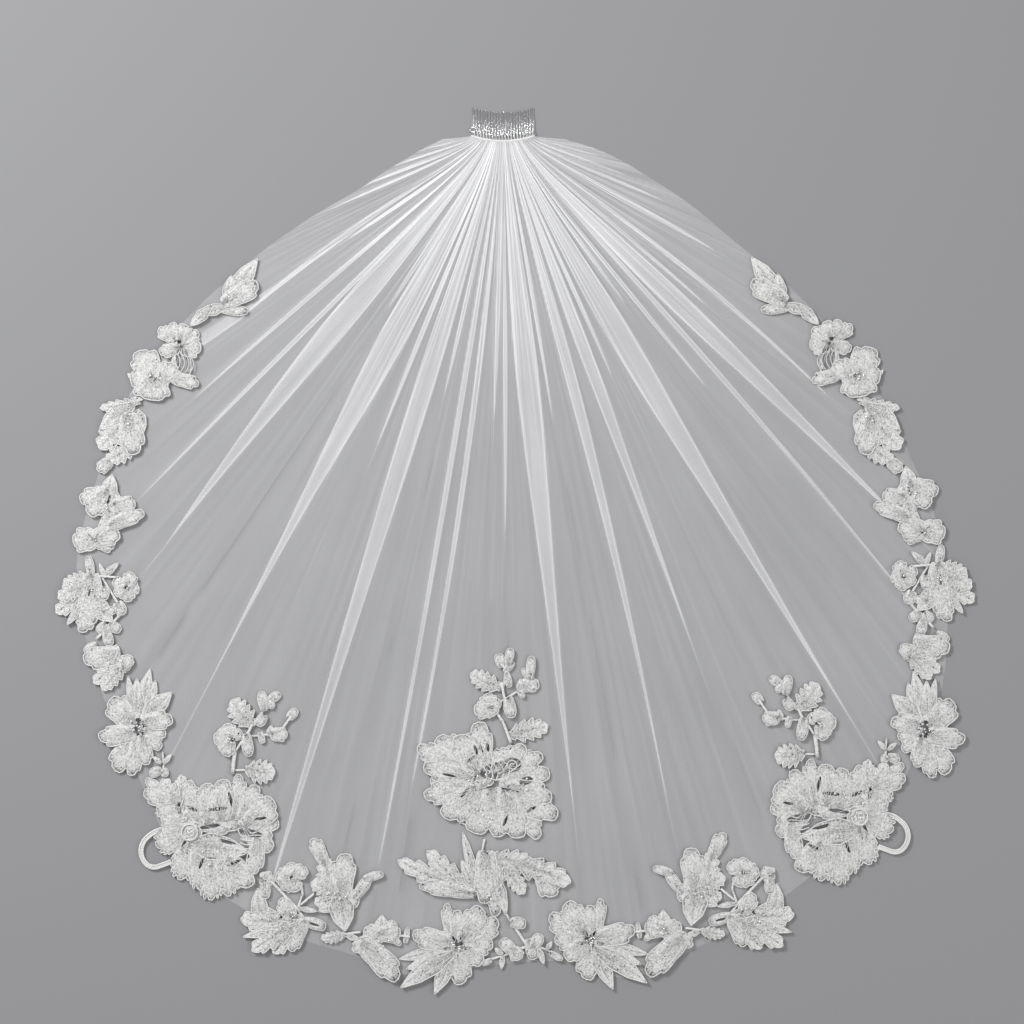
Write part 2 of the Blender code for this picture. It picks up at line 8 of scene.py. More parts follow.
import bpy
import numpy as np
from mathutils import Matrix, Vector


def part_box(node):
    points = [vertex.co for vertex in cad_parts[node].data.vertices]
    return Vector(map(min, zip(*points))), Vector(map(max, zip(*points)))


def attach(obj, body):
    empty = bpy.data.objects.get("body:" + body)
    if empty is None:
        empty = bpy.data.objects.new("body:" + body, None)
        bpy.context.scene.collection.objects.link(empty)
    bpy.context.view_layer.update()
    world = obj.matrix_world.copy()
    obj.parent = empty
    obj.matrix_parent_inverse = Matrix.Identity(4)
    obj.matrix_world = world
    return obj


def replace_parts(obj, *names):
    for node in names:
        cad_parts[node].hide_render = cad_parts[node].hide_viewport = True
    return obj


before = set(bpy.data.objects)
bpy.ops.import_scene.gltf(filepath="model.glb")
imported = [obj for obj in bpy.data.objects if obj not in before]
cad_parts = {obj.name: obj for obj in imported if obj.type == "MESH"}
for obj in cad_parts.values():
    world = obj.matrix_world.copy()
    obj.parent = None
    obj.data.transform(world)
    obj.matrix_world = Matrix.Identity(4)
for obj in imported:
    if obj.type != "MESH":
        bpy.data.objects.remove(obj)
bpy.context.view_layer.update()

# ---- The tulle panel -------------------------------------------------------------------------------
# One panel of soft nylon tulle, gathered by hand on the comb and spread like a fan. Where there is more
# cloth than room it folds over itself: broad folds that run far down, and many short ones at the comb.

MM = 0.001
HEADING_WIDTH = 80.0
HEADING_LOW = 4.5
HEADING_RISE = 7.0
BINDING_BREADTH = 3.6
EDGE_ANGLE = 88.0
TULLE_WHITE = (0.93, 0.93, 0.94)
TULLE_ROUGHNESS = 0.62
TULLE_COVER = 0.17  # the share of one flat layer that is thread
NET_PITCH = 2.3
SHEET_HEIGHT = 0.5  # how high the middle of a single layer lies
FALL = 5.0  # how fast the cloth comes down from a fold
EDGE_BRIGHT = 1.6  # how broad a fold's rounded edge is
NECK_HEIGHT = 4.2  # the cloth stands this high where it is bunched at the comb
NECK_REACH = 48.0
RAY_REACH = 55.0  # over this the rays of cloth leave the heading for the middle
GATHER_HEIGHT = 1.1
GATHER_REACH = 150.0
UNEVEN_HEIGHT = 0.22
TULLE_ROWS = 112

# The heading's arc is lowest in its middle, and the binding's box in the frame says where that lies.
binding_low, binding_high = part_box("heading_binding")
PLACE_X = (binding_low.x + binding_high.x) / 2
PLACE_Y = binding_low.y + (HEADING_LOW + BINDING_BREADTH / 2) * MM

# The edge of the tulle: angle, radius.
TULLE_EDGE = np.array([
    (-88, 62), (-84, 80), (-77, 122), (-70, 188), (-67, 275), (-62.8, 385), (-60.2, 462), (-55.8, 562),
    (-50.2, 658), (-45.5, 749), (-40.2, 811), (-33.7, 878), (-29.2, 924), (-24, 996), (-14, 1034),
    (-10.5, 1036), (-6.9, 1056), (-2.1, 1038), (1.3, 1029), (4.9, 1031), (7.6, 1062), (9.7, 1062),
    (13.2, 1040), (15.6, 1035), (30.1, 962), (33, 936), (39, 876), (41.8, 832), (46.7, 762), (48.9, 716),
    (52.3, 638), (55, 588), (58.4, 510), (62, 418), (65.9, 312), (74.6, 188), (81.5, 126), (88, 62),
])  # fmt: skip

# Every fold from the left: angle at the comb, angle where it ends, width at FOLD_WIDEST, radius where it
# ends, power of its taper, height. A low power keeps a fold broad nearly to its end.
FOLD_WIDEST = 300.0
FOLD_KEPT = 0.45  # the share of its width that a fold keeps at its end
FOLD_OPENS = 90.0  # the run past its end in which it comes to lie flat
BROAD_FOLD = 14
FOLDS = (
    (-84.5, -80.0, 9, 120, 1.0, 1.2),
    (-79.0, -75.0, 10, 150, 1.0, 1.2),
    (-73.5, -71.0, 12, 190, 1.0, 1.5),
    (-69.0, -67.5, 8, 235, 1.0, 1.2),
    (-62.3, -55.5, 10, 400, 0.7, 1.6),
    (-57.3, -56.8, 12, 230, 0.8, 1.6),
    (-51.8, -49.8, 7, 505, 0.7, 1.6),
    (-46.3, -45.2, 7, 640, 0.7, 1.6),
    (-43.2, -39.6, 38, 665, 1.15, 2.6),
    (-35.0, -34.0, 12, 260, 0.8, 1.6),
    (-29.2, -28.2, 44, 875, 2.4, 2.8),
    (-23.0, -22.2, 9, 420, 0.8, 1.6),
    (-17.8, -17.2, 28, 1000, 0.9, 2.6),
    (-12.6, -12.8, 10, 330, 0.8, 1.4),
    (-8.6, -9.7, 8, 920, 0.55, 2.0),
    (-4.9, -8.0, 8, 815, 0.55, 2.0),
    (-1.6, -1.8, 9, 350, 0.7, 1.6),
    (0.9, 0.3, 7, 500, 0.7, 1.6),
    (5.7, 6.0, 35, 860, 1.25, 2.6),
    (11.2, 10.0, 8, 360, 0.8, 1.4),
    (16.9, 13.8, 17, 880, 1.3, 2.0),
    (21.4, 20.4, 20, 700, 1.4, 2.0),
    (25.4, 24.6, 9, 330, 0.8, 1.4),
    (30.4, 30.9, 37, 880, 1.45, 2.6),
    (36.0, 36.5, 9, 260, 0.8, 1.4),
    (39.0, 39.2, 8, 400, 0.6, 1.6),
    (43.6, 41.2, 8, 790, 0.6, 1.8),
    (47.2, 46.0, 31, 710, 1.1, 2.4),
    (52.8, 50.5, 9, 330, 0.8, 1.4),
    (57.8, 51.5, 7, 520, 0.6, 1.6),
    (64.5, 62.0, 9, 300, 0.8, 1.4),
    (70.5, 68.5, 11, 215, 1.0, 1.5),
    (76.0, 73.0, 11, 160, 1.0, 1.2),
    (82.0, 79.0, 9, 120, 1.0, 1.2),
)


def heading_down(across):
    """How far down the heading's arc lies: its lowest value less a rise with the square of across."""
    return HEADING_LOW - HEADING_RISE * (2 * across / HEADING_WIDTH) ** 2


def in_frame(across, down, height):
    """Millimetres on the veil as whole arrays, turned into points of the frame in metres."""
    across, down, height = np.broadcast_arrays(across, down, height)
    return np.stack([PLACE_X + across * MM, PLACE_Y - down * MM, height * MM], axis=-1)


def soft_steps(x, low, high):
    """0 below low, 1 above high, and 3 s squared less 2 s cubed on the way between them."""
    s = np.clip((x - low) / (high - low), 0, 1)
    return s * s * (3 - 2 * s)


def waves(x, y, seed, count, longest, shortest):
    """Soft unevenness about 0: a sum of sines with wavelengths from longest to shortest, all seeded."""
    draw = np.random.default_rng(seed)
    total = np.zeros(np.broadcast(x, y).shape)
    for length in np.geomspace(longest, shortest, count):
        turn, start = draw.uniform(0, 2 * np.pi, 2)
        total += np.sin(2 * np.pi * (x * np.cos(turn) + y * np.sin(turn)) / length + start)
    return total / np.sqrt(count)


def grid_faces(rows, columns, start=0, round_rows=False):
    """Quads of a grid whose points run along its columns first; round_rows joins last column to first."""
    row, column = np.meshgrid(np.arange(rows - 1), np.arange(columns - (not round_rows)), indexing="ij")
    following = (column + 1) % columns
    a = row * columns + column
    b = row * columns + following
    return np.stack([a, b, b + columns, a + columns], axis=-1).reshape(-1, 4) + start


def add_piece(name, points, faces, material, numbers=None, places=None):
    """A smooth mesh at the origin that rides on the one body. numbers are its attributes, one value a
    point each, and places is its UV map, one pair a point."""
    mesh = bpy.data.meshes.new(name)
    mesh.from_pydata(points.reshape(-1, 3), [], faces)
    mesh.shade_smooth()
    mesh.materials.append(material)
    for attribute, values in (numbers or {}).items():
        layer = mesh.attributes.new(attribute, "FLOAT", "POINT")
        layer.data.foreach_set("value", np.ascontiguousarray(values, np.float32).ravel())
    if places is not None:
        corners = np.empty(len(mesh.loops), np.int32)
        mesh.loops.foreach_get("vertex_index", corners)
        layer = mesh.uv_layers.new(name="cloth")
        layer.data.foreach_set("uv", places.reshape(-1, 2)[corners].astype(np.float32).ravel())
    piece = bpy.data.objects.new(name, mesh)
    bpy.context.scene.collection.objects.link(piece)
    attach(piece, "root")
    return piece


def arithmetic(operation, swapped=False):
    """A method of Strand that adds a Math node. Where it is swapped, the Strand stands on the right."""

    def add(strand, other):
        first, second = (other, strand) if swapped else (strand, other)
        return strand.node("Math", {"operation": operation}, {0: first, 1: second})

    return add


class Strand:
    """One socket of a material's nodes. Sums on it add Math nodes, so that a pattern reads as a formula."""

    __add__ = __radd__ = arithmetic("ADD")
    __mul__ = __rmul__ = arithmetic("MULTIPLY")
    __sub__, __rsub__ = arithmetic("SUBTRACT"), arithmetic("SUBTRACT", swapped=True)
    __pow__, __rpow__ = arithmetic("POWER"), arithmetic("POWER", swapped=True)

    def __init__(self, tree, socket=None):
        self.tree = tree
        self.socket = socket

    def node(self, kind, settings, sockets, output=0):
        """Adds a node: its settings first, then values or links by socket. Gives one of its outputs."""
        made = self.tree.nodes.new("ShaderNode" + kind)
        for name, value in settings.items():
            setattr(made, name, value)
        for name, value in sockets.items():
            if isinstance(value, Strand):
                self.tree.links.new(value.socket, made.inputs[name])
            else:
                made.inputs[name].default_value = value
        return Strand(self.tree, made.outputs[output])

    def numbers(self, name):
        """The piece's own attribute of this name."""
        return self.node("Attribute", {"attribute_name": name}, {}, output=2)

    def cloth(self):
        """The place on the cloth itself, from the piece's UV map."""
        return self.node("UVMap", {"uv_map": "cloth"}, {})

    def part(self, axis):
        return self.node("SeparateXYZ", {}, {"Vector": self}, output=axis)

    def wave(self):
        return self.node("Math", {"operation": "COSINE"}, {0: self})

    def from_to(self, low, high, to_low=0.0, to_high=1.0):
        """Carries low to high over to to_low to to_high along a soft step, and stays there outside."""
        settings = {"interpolation_type": "SMOOTHSTEP"}
        ends = {"From Min": low, "From Max": high, "To Min": to_low, "To Max": to_high}
        return self.node("MapRange", settings, {"Value": self, **ends})

    def noise(self, scale, detail=2.0, across=1.0, along=1.0):
        """Noise about 0.5 at this point, drawn out along one axis by unequal across and along."""
        stretch = {"Vector": self, "Scale": (across, along, 1.0)}
        place = self.node("Mapping", {}, stretch)
        return self.node("TexNoise", {}, {"Vector": place, "Scale": scale, "Detail": detail})

    def blend(self, first, second):
        """The colour between two, first where this is 0 and second where it is 1."""
        colours = {0: self, 6: (*first, 1.0), 7: (*second, 1.0)}
        return self.node("Mix", {"data_type": "RGBA"}, colours, output=2)


def new_material(name, colour, roughness, settings=None):
    """A Principled material with its even values set; gives it, its shader's inputs and a first Strand."""
    material = bpy.data.materials.new(name)
    material.use_nodes = True
    shader = material.node_tree.nodes["Principled BSDF"]
    shader.inputs["Base Color"].default_value = (*colour, 1.0)
    shader.inputs["Roughness"].default_value = roughness
    for socket, value in (settings or {}).items():
        shader.inputs[socket].default_value = value
    return material, shader, Strand(material.node_tree)


def feed(shader, socket, strand):
    strand.tree.links.new(strand.socket, shader.inputs[socket])


def raise_by(shader, strand, depth):
    """Lets a height from 0 to 1 stand up from the surface by depth metres."""
    bump = strand.node("Bump", {}, {"Height": strand, "Distance": depth, "Strength": 1.0})
    feed(shader, "Normal", bump)


def fold_reach(overlap):
    """How strongly a fold swings back so that its three layers overlap by this share of its half width.
    The cloth runs as k t cubed + (1 - k) t over a fold, which overlaps by
    4/3 (k - 1) root((k - 1) / 3k), and the table of that is read backwards."""
    k = np.linspace(1, 4, 200)
    return np.interp(overlap, 4 / 3 * (k - 1) * np.sqrt((k - 1) / (3 * k)), k)


def gap_columns(foot, side, drop, lay, count):
    """Flat cloth from one fold's foot to the next fold's side: its angles, and its height, which falls
    from the fold it comes down from by 1 / e in every FALL millimetres."""
    along = np.linspace(0, 1, count)[None, :-1]
    angle = foot + (side - foot) * along
    return angle, drop * np.exp(-np.radians(np.maximum(angle - foot, 0)) * lay / FALL)


def beyond(radius, start):
    """The larger of two radii with a soft turn from one to the other: a sum of their 6th powers."""
    return (radius**6 + start**6) ** (1 / 6)


def fold_columns(fold, share):
    """One fold's angles, heights, densities and its layers' places from -1 to 1, and its two sides.

    Its columns cross it as k t cubed + (1 - k) t: forward, back under itself and forward again for k over
    1, a soft crease for k near 1, flat cloth for 0. k falls towards the fold's end. Density is the cloth
    over a millimetre: the slope of that curve turned upside down, with more in each rounded edge."""
    comb_angle, end_angle, width, end, power, height = fold
    radius = share * np.interp(end_angle, *TULLE_EDGE.T)
    middle = comb_angle + (end_angle - comb_angle) * np.minimum(radius / end, 1)
    start = min(FOLD_WIDEST, (1 - FOLD_KEPT) * end)
    left = np.clip((end - beyond(radius, start)) / (end - start), 0, 1)
    half = 0.5 * width * (FOLD_KEPT + (1 - FOLD_KEPT) * left)
    half_angle = np.degrees(half / beyond(radius, FOLD_WIDEST))
    overlap = np.clip(width * left**power / half, 0, 2)
    k = fold_reach(overlap) * soft_steps(end + FOLD_OPENS - radius, 0, FOLD_OPENS)
    turn = np.linspace(0, np.pi, 25 if width > BROAD_FOLD else 16)[None, :]
    t = -np.cos(turn)
    lie = k * t**3 + (1 - k) * t
    slope = np.abs(3 * k * t**2 + 1 - k)
    stand = height * soft_steps(k, 0.2, 2.2)
    rise = stand * (turn / np.pi + 0.5 * np.sin(turn) ** 2)
    rim = np.exp(-(((np.abs(lie) - overlap / 2) * half / EDGE_BRIGHT) ** 2)) * soft_steps(k, 0.6, 1.6)
    density = np.clip((1 + overlap) / (slope + 0.35), 0.85, 2.2) + 0.8 * rim
    columns = (middle + half_angle * lie, rise, density, t + 0 * lie)
    return columns, middle - half_angle, middle + half_angle, stand


def lay_tulle(rows):
    """The folded sheet from its left edge to its right: angle, height over a single layer, density and
    layer shift at each point of a grid, rows from the comb to the hem and columns across."""
    share = np.linspace(0, 1, rows)[:, None] ** 1.25
    foot, drop = np.full((rows, 1), -EDGE_ANGLE), np.zeros((rows, 1))
    strips = []
    for fold in FOLDS:
        columns, side, following, stand = fold_columns(fold, share)
        lay = np.maximum(share * np.interp(fold[1], *TULLE_EDGE.T), FOLD_WIDEST)
        angle, rise = gap_columns(foot, side, drop, lay, 7)
        strips += [(angle, rise, np.ones_like(angle), np.zeros_like(angle)), columns]
        foot, drop = following, stand
    angle, rise = gap_columns(foot, np.full_like(foot, EDGE_ANGLE), drop, FOLD_WIDEST, 9)
    strips.append((angle, rise, np.ones_like(angle), np.zeros_like(angle)))
    last = np.full_like(foot, EDGE_ANGLE)
    strips.append((last, 0 * last, 1 + 0 * last, 0 * last))
    return share, *(np.hstack(parts) for parts in zip(*strips))


def edge_radius(angle):
    """The edge's radius on a smooth curve: the mean of its straight runs over two degrees and a half."""
    spread = np.linspace(-1.25, 1.25, 5)
    return np.mean([np.interp(angle + turn, *TULLE_EDGE.T) for turn in spread], axis=0)


share, angle, rise, density, layer = lay_tulle(TULLE_ROWS)
radius = share * edge_radius(angle[-1:])
turn = np.radians(angle)
start_across = (HEADING_WIDTH / 2 - 0.6) * angle / EDGE_ANGLE
start_down = heading_down(start_across) + 0.4
near_comb = np.exp(-radius / NECK_REACH)
across = radius * np.sin(turn) + start_across * np.exp(-radius / RAY_REACH)
down = radius * np.cos(turn) + start_down * np.exp(-radius / RAY_REACH)
gathers = np.sin(angle * 2.1 + 2.2 * waves(angle, 0 * angle, 5, 5, 90, 14))
gathers = gathers + 0.6 * np.sin(angle * 3.7 + 1.5 * waves(angle, 0 * angle, 6, 5, 60, 9))
pucker = np.exp(-((radius / GATHER_REACH) ** 1.2)) * (1 - 0.75 * np.exp(-radius / 9))
uneven = waves(across, down, 11, 6, 420, 90)
height = SHEET_HEIGHT + rise * (1 - near_comb) + NECK_HEIGHT * near_comb + GATHER_HEIGHT * gathers * pucker
height = height + UNEVEN_HEIGHT * uneven
height = np.maximum(height, 0.12 + 0.3 * layer * (layer > 0))
# The net is crushed towards the comb, where more of it lies on each spot.
crush = 1 + 2.4 * np.exp(-radius / 70) + 0.9 * np.exp(-((radius / 240) ** 2))

tulle, tulle_shader, strand = new_material("tulle", TULLE_WHITE, TULLE_ROUGHNESS, {"Sheen Weight": 0.15})
layers, far, weave = strand.numbers("layers"), strand.numbers("radius"), strand.cloth()
# Streaks of crushed cloth run out along the rays, and a mist of uneven density lies over it all.
rays = strand.node("CombineXYZ", {}, {"X": strand.numbers("angle") * 0.01, "Y": far, "Z": 0.0})
streaks = rays.noise(38.0, 3.0, 4.2, 0.09).from_to(0.3, 0.72)
fine_streaks = rays.noise(38.0, 2.0, 13.0, 0.05).from_to(0.3, 0.7)
mist = weave.noise(7.0, 4.0).from_to(0.25, 0.75)
gathered = far.from_to(0.05, 0.42, 1.0, 0.0)
streaky = 1 + (streaks - 0.5) * (0.45 + 0.9 * gathered) + (fine_streaks - 0.5) * 1.1 * gathered
cloth_on = layers * streaky * (0.86 + 0.28 * mist)
# The holes of the net lie where three sets of waves, 60 degrees apart, are all high.
x, y = weave.part(0), weave.part(1)
lattice = []
for direction in np.radians((0, 60, 120)).tolist():
    run = x * float(np.cos(direction)) + y * float(np.sin(direction))
    lattice.append((run * (2 * np.pi / (NET_PITCH * MM))).wave())
holes = (lattice[0] + lattice[1] + lattice[2] + 1.5) * (1 / 4.5)
net = 0.45 + 1.1 * (1 - holes) ** 1.5
# Each layer that lies on a spot hides a share of what is under it: 1 - (1 - cover) to the density.
feed(tulle_shader, "Alpha", 1 - (1 - TULLE_COVER) ** (cloth_on * net))

tulle_faces = grid_faces(TULLE_ROWS, angle.shape[1])[:, ::-1]
panel = add_piece(
    "tulle",
    in_frame(across, down, height),
    tulle_faces.tolist(),
    tulle,
    numbers={"layers": density * crush, "angle": angle, "radius": radius * MM},
    places=np.stack([across + 0.9 * layer, down], axis=-1) * MM,
)
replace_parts(panel, "tulle_panel")
panel.visible_shadow = False
bpy.context.scene.cycles.transparent_max_bounces = 48

# ---- The heading and its binding -------------------------------------------------------------------
# A narrow strip of white satin holds the gathers to the comb. Close whip stitches of white thread go
# over and over it from end to end.

BINDING_HEIGHT = 6.0
BINDING_ROWS = 90
BINDING_SIDES = 14
STITCHES = 58
STITCH_THREAD = 0.55
SATIN_WHITE = (0.9, 0.9, 0.89)
UPWARDS = (0.0, 0.0, 1.0)
SIDEWAYS = (1.0, 0.0, 0.0)


def carry(path, radius, sides, hint):
    """A round tube along a path: at each point, radius times cosine along the side direction, which is
    square to the path and to hint, plus radius times sine along the direction square to both."""
    ahead = np.gradient(path, axis=0)
    ahead = ahead / np.linalg.norm(ahead, axis=1, keepdims=True)
    side = np.cross(ahead, np.array(hint))
    side = side / np.linalg.norm(side, axis=1, keepdims=True)
    up = np.cross(ahead, side)
    turn = np.linspace(0, 2 * np.pi, sides, endpoint=False)[None, :, None]
    radius = np.broadcast_to(radius, len(path))[:, None, None]
    return path[:, None] + radius * (np.cos(turn) * side[:, None] + np.sin(turn) * up[:, None])


def tube_faces(rings, sides, start=0):
    """The quads of a tube whose points run round each ring first, with a cap at both open ends."""
    faces = grid_faces(rings, sides, start, round_rows=True)
    ends = np.arange(sides) + start
    return faces.tolist() + [ends[::-1].tolist(), (ends + (rings - 1) * sides).tolist()]


class Bundle:
    """Points, faces, cloth places and numbers of many small shapes that become one mesh."""

    def __init__(self):
        self.points, self.faces, self.places, self.numbers = [], [], [], []
        self.count = 0

    def add(self, points, faces, places, *numbers):
        """Takes a grid of points with faces numbered from this bundle's count, and a place for each."""
        flat = points.reshape(-1, 3)
        self.points.append(flat)
        self.faces += faces
        self.places.append(np.broadcast_to(places, (*points.shape[:-1], 2)).reshape(-1, 2))
        self.numbers.append([np.broadcast_to(number, points.shape[:-1]).reshape(-1) for number in numbers])
        self.count += len(flat)

    def tube(self, path, radius, sides, hint=UPWARDS, numbers=()):
        """A tube whose cloth places are the way along it and the way round it, in millimetres."""
        path = np.asarray(path, float)
        points = carry(path, radius, sides, hint)
        steps = np.linalg.norm(np.diff(path, axis=0, prepend=path[:1]), axis=1).cumsum()
        places = np.stack(np.broadcast_arrays(steps[:, None], np.arange(sides)[None, :] * 0.8), axis=-1)
        self.add(points, tube_faces(len(path), sides, self.count), places, *numbers)

    def piece(self, name, material, slot, attributes=()):
        """Makes the mesh. Its points came in as millimetres across, down and up."""
        across, down, height = np.vstack(self.points).T
        numbers = dict(zip(attributes, np.hstack(self.numbers))) if attributes else None
        faces = [face[::-1] for face in self.faces]
        points = in_frame(across, down, height)
        return add_piece(name, points, faces, material, numbers, np.vstack(self.places) * MM)


satin, satin_shader, strand = new_material("binding_satin", SATIN_WHITE, 0.5, {"Sheen Weight": 0.2})
twist = strand.cloth()
plies = (twist.part(0) * (2 * np.pi / (0.6 * MM))).wave()
raise_by(satin_shader, plies * 0.5 + 0.5, 0.00008)
# Painted sheen: patches of brighter white in the satin's colour.
satin_painted_sheen = twist.noise(900.0).from_to(0.3, 0.7)
feed(satin_shader, "Base Color", satin_painted_sheen.blend(SATIN_WHITE, (0.99, 0.99, 0.98)))

binding = Bundle()
half_heading = HEADING_WIDTH / 2
along = np.linspace(-half_heading, half_heading, BINDING_ROWS)
core = np.stack([along, heading_down(along), np.full_like(along, BINDING_HEIGHT / 2 - 0.4)], axis=-1)
section = np.linspace(0, 2 * np.pi, BINDING_SIDES, endpoint=False)
oval = np.stack([0 * section, 0.5 * BINDING_BREADTH * np.cos(section), 2.8 * np.sin(section)], axis=-1)
rounded = np.sqrt(np.clip(1 - (np.abs(along) / (half_heading + 0.2)) ** 24, 0.05, 1))[:, None, None]
strip_places = np.stack(np.broadcast_arrays(along[:, None], section * 1.5), axis=-1)
binding.add(core[:, None] + oval[None] * rounded, tube_faces(BINDING_ROWS, BINDING_SIDES), strip_places)
whip = np.linspace(0, STITCHES * 2 * np.pi, STITCHES * 14)
wander = 0.1 * waves(whip, 0 * whip, 21, 4, 90, 9)
stitch_across = (half_heading - 0.7) * (2 * whip / whip[-1] - 1) + 0.35 * np.sin(whip) + wander
stitch_down = heading_down(stitch_across) + (0.5 * BINDING_BREADTH - 0.1) * np.cos(whip)
stitch_up = BINDING_HEIGHT / 2 - 0.3 + 2.75 * np.sin(whip)
stitch_path = np.stack([stitch_across, stitch_down, np.maximum(stitch_up, 0.4)], axis=-1)
binding.tube(stitch_path, STITCH_THREAD / 2, 5, hint=SIDEWAYS)
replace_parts(binding.piece("binding", satin, "binding"), "heading_binding")

# ---- The comb --------------------------------------------------------------------------------------
# Twenty narrow hairpin teeth of one bent silver-plated wire stand side by side on a spine wire that
# ends in a small eyelet. White thread is wound over spine and teeth and ties them to the heading.

TOOTH_COUNT = 20
TOOTH_PITCH = 3.95
TOOTH_GAP = 1.7
TOOTH_WIRE = 0.64
TOOTH_LENGTH = 32.0
TOOTH_TIP_HEIGHT = 0.9
SPINE_WIRE = 1.2
SPINE_HEIGHT = 3.4
SPINE_SETBACK = 2.9
SPINE_ROWS = 60
EYELET_RADIUS = 2.8
EYELET_ROWS = 26
TIE_THREAD = 0.95
TIE_SETBACK = 4.4
TIE_REACH = 3.9

silver, silver_shader, strand = new_material("comb_silver", (0.7, 0.7, 0.71), 0.16, {"Metallic": 1.0})
wire_place = strand.node("TexCoord", {}, {}, output=3)
rubbed = wire_place.noise(260.0, 3.0).from_to(0.3, 0.7)
feed(silver_shader, "Roughness", rubbed * 0.16 + 0.1)
feed(silver_shader, "Base Color", rubbed.blend((0.84, 0.84, 0.85), (0.6, 0.6, 0.61)))
raise_by(silver_shader, wire_place.noise(900.0, 2.0), 0.00002)

spine = Bundle()
spine_across = half_heading * 0.97 * np.linspace(1, -1, SPINE_ROWS)
spine_line = np.stack([spine_across, heading_down(spine_across) - SPINE_SETBACK], axis=-1)
eyelet = np.radians(np.linspace(12, 318, EYELET_ROWS))
curl = spine_line[-1] - EYELET_RADIUS * np.stack([np.sin(eyelet), 1 - np.cos(eyelet)], axis=-1)
spine_lift = np.concatenate([np.zeros(SPINE_ROWS), np.linspace(0.05, 1.2, EYELET_ROWS)])
spine_route = np.column_stack([np.vstack([spine_line, curl]), SPINE_HEIGHT + spine_lift])
spine.tube(spine_route, SPINE_WIRE / 2, 10)
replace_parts(spine.piece("comb_spine_wire", silver, "comb_wire"), "comb_spine")

teeth = Bundle()
lean = np.random.default_rng(8).normal(0, 0.22, (TOOTH_COUNT, 2))[:, 0]
out = np.linspace(0, 1, 16)
leg_across = -TOOTH_GAP / 2 * (1 + 0.1 * np.sin(np.pi * out))
leg_height = SPINE_HEIGHT + (TOOTH_TIP_HEIGHT - SPINE_HEIGHT) * (1 - (1 - out) ** 2)
bend = np.radians(np.linspace(180, 0, 9)[1:-1])
tip_across, tip_run = TOOTH_GAP / 2 * np.cos(bend), TOOTH_GAP / 2 * np.sin(bend)
tip_height = np.full_like(bend, TOOTH_TIP_HEIGHT)
for tooth in range(TOOTH_COUNT):
    middle = TOOTH_PITCH * (tooth - (TOOTH_COUNT - 1) / 2)
    root = heading_down(middle) - SPINE_SETBACK - (SPINE_WIRE + TOOTH_WIRE) / 2
    leg = np.stack([leg_across, root - TOOTH_LENGTH * out, leg_height], axis=-1)
    tip = np.stack([tip_across, root - TOOTH_LENGTH - tip_run, tip_height], axis=-1)
    hairpin = np.vstack([leg, tip, (leg * (-1, 1, 1))[::-1]])
    hairpin[:, 0] += middle + lean[tooth] * (root - hairpin[:, 1]) / TOOTH_LENGTH
    teeth.tube(hairpin, TOOTH_WIRE / 2, 8)
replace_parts(teeth.piece("comb_teeth_wire", silver, "comb_wire"), "comb_teeth")

ties = Bundle()
wound = np.linspace(0, TOOTH_COUNT * 2 * np.pi, TOOTH_COUNT * 20)
tie_across = (half_heading - 1.6) * (2 * wound / wound[-1] - 1) - 0.55 * np.cos(wound)
tie_down = heading_down(tie_across) - TIE_SETBACK + TIE_REACH * np.cos(wound)
tie_path = np.stack([tie_across, tie_down, SPINE_HEIGHT - 1.8 * np.sin(wound)], axis=-1)
ties.tube(tie_path, TIE_THREAD / 2, 7, hint=SIDEWAYS)
ties.piece("comb_ties", satin, "binding")

# ---- The lace --------------------------------------------------------------------------------------
# Each motif is machine-embroidered in white thread and sewn to the tulle: filled petals, serrated leaves
# and buds with a raised cord round every edge, threads that fan out from each base, and thin stems.

LACE_BASE = 1.2
PAD_LIFT = 0.9
LAYER_STEP = 0.9  # each shape lies this much higher than the one before it, up to two steps
CORD = 0.9
RIB = 0.5
FILLED = 9.0  # the number of a place that is nowhere near an open patch
CORDED = (FILLED, 1.25)  # a cord's two numbers: no openings, and a tone that is whiter than its pad

# How each kind of shape is made. Round kinds fan out from their base: lobes and depth are the scallops
# of the rim, and full is how far on they are widest. Long kinds run from base to tip: outline is their
# half breadth on the way, and teeth and depth are those of the rim. rise is how far they dome up.
ROUND_PARTS = ("rise", "depth", "ribs", "rows", "columns", "lobes", "full")
ROUND_KINDS = {
    "petal": (2.3, 0.15, 5, 9, 31, 5, 0.62),
    "fringe": (2.2, 0.13, 9, 9, 61, 15, 0.6),
    "bud": (2.2, 0.08, 2, 6, 19, 3, 0.66),
}
LONG_PARTS = ("rise", "depth", "ribs", "rows", "columns", "teeth", "outline")
LONG_KINDS = {
    "point": (2.0, 0, 3, 17, 9, 0, ((0, 0.35), (0.35, 1.0), (0.7, 0.75), (1, 0.07))),
    "blade": (1.6, 0, 1, 15, 7, 0, ((0, 0.3), (0.45, 1.0), (0.8, 0.6), (1, 0.08))),
    "leaf": (2.0, 0.45, 1, 31, 9, 5, ((0, 0.25), (0.3, 1.1), (0.65, 1.1), (0.9, 0.7), (1, 0.14))),
    "stem": (0.9, 0, 0, 8, 5, 0, ((0, 0.7), (1, 0.7))),
}


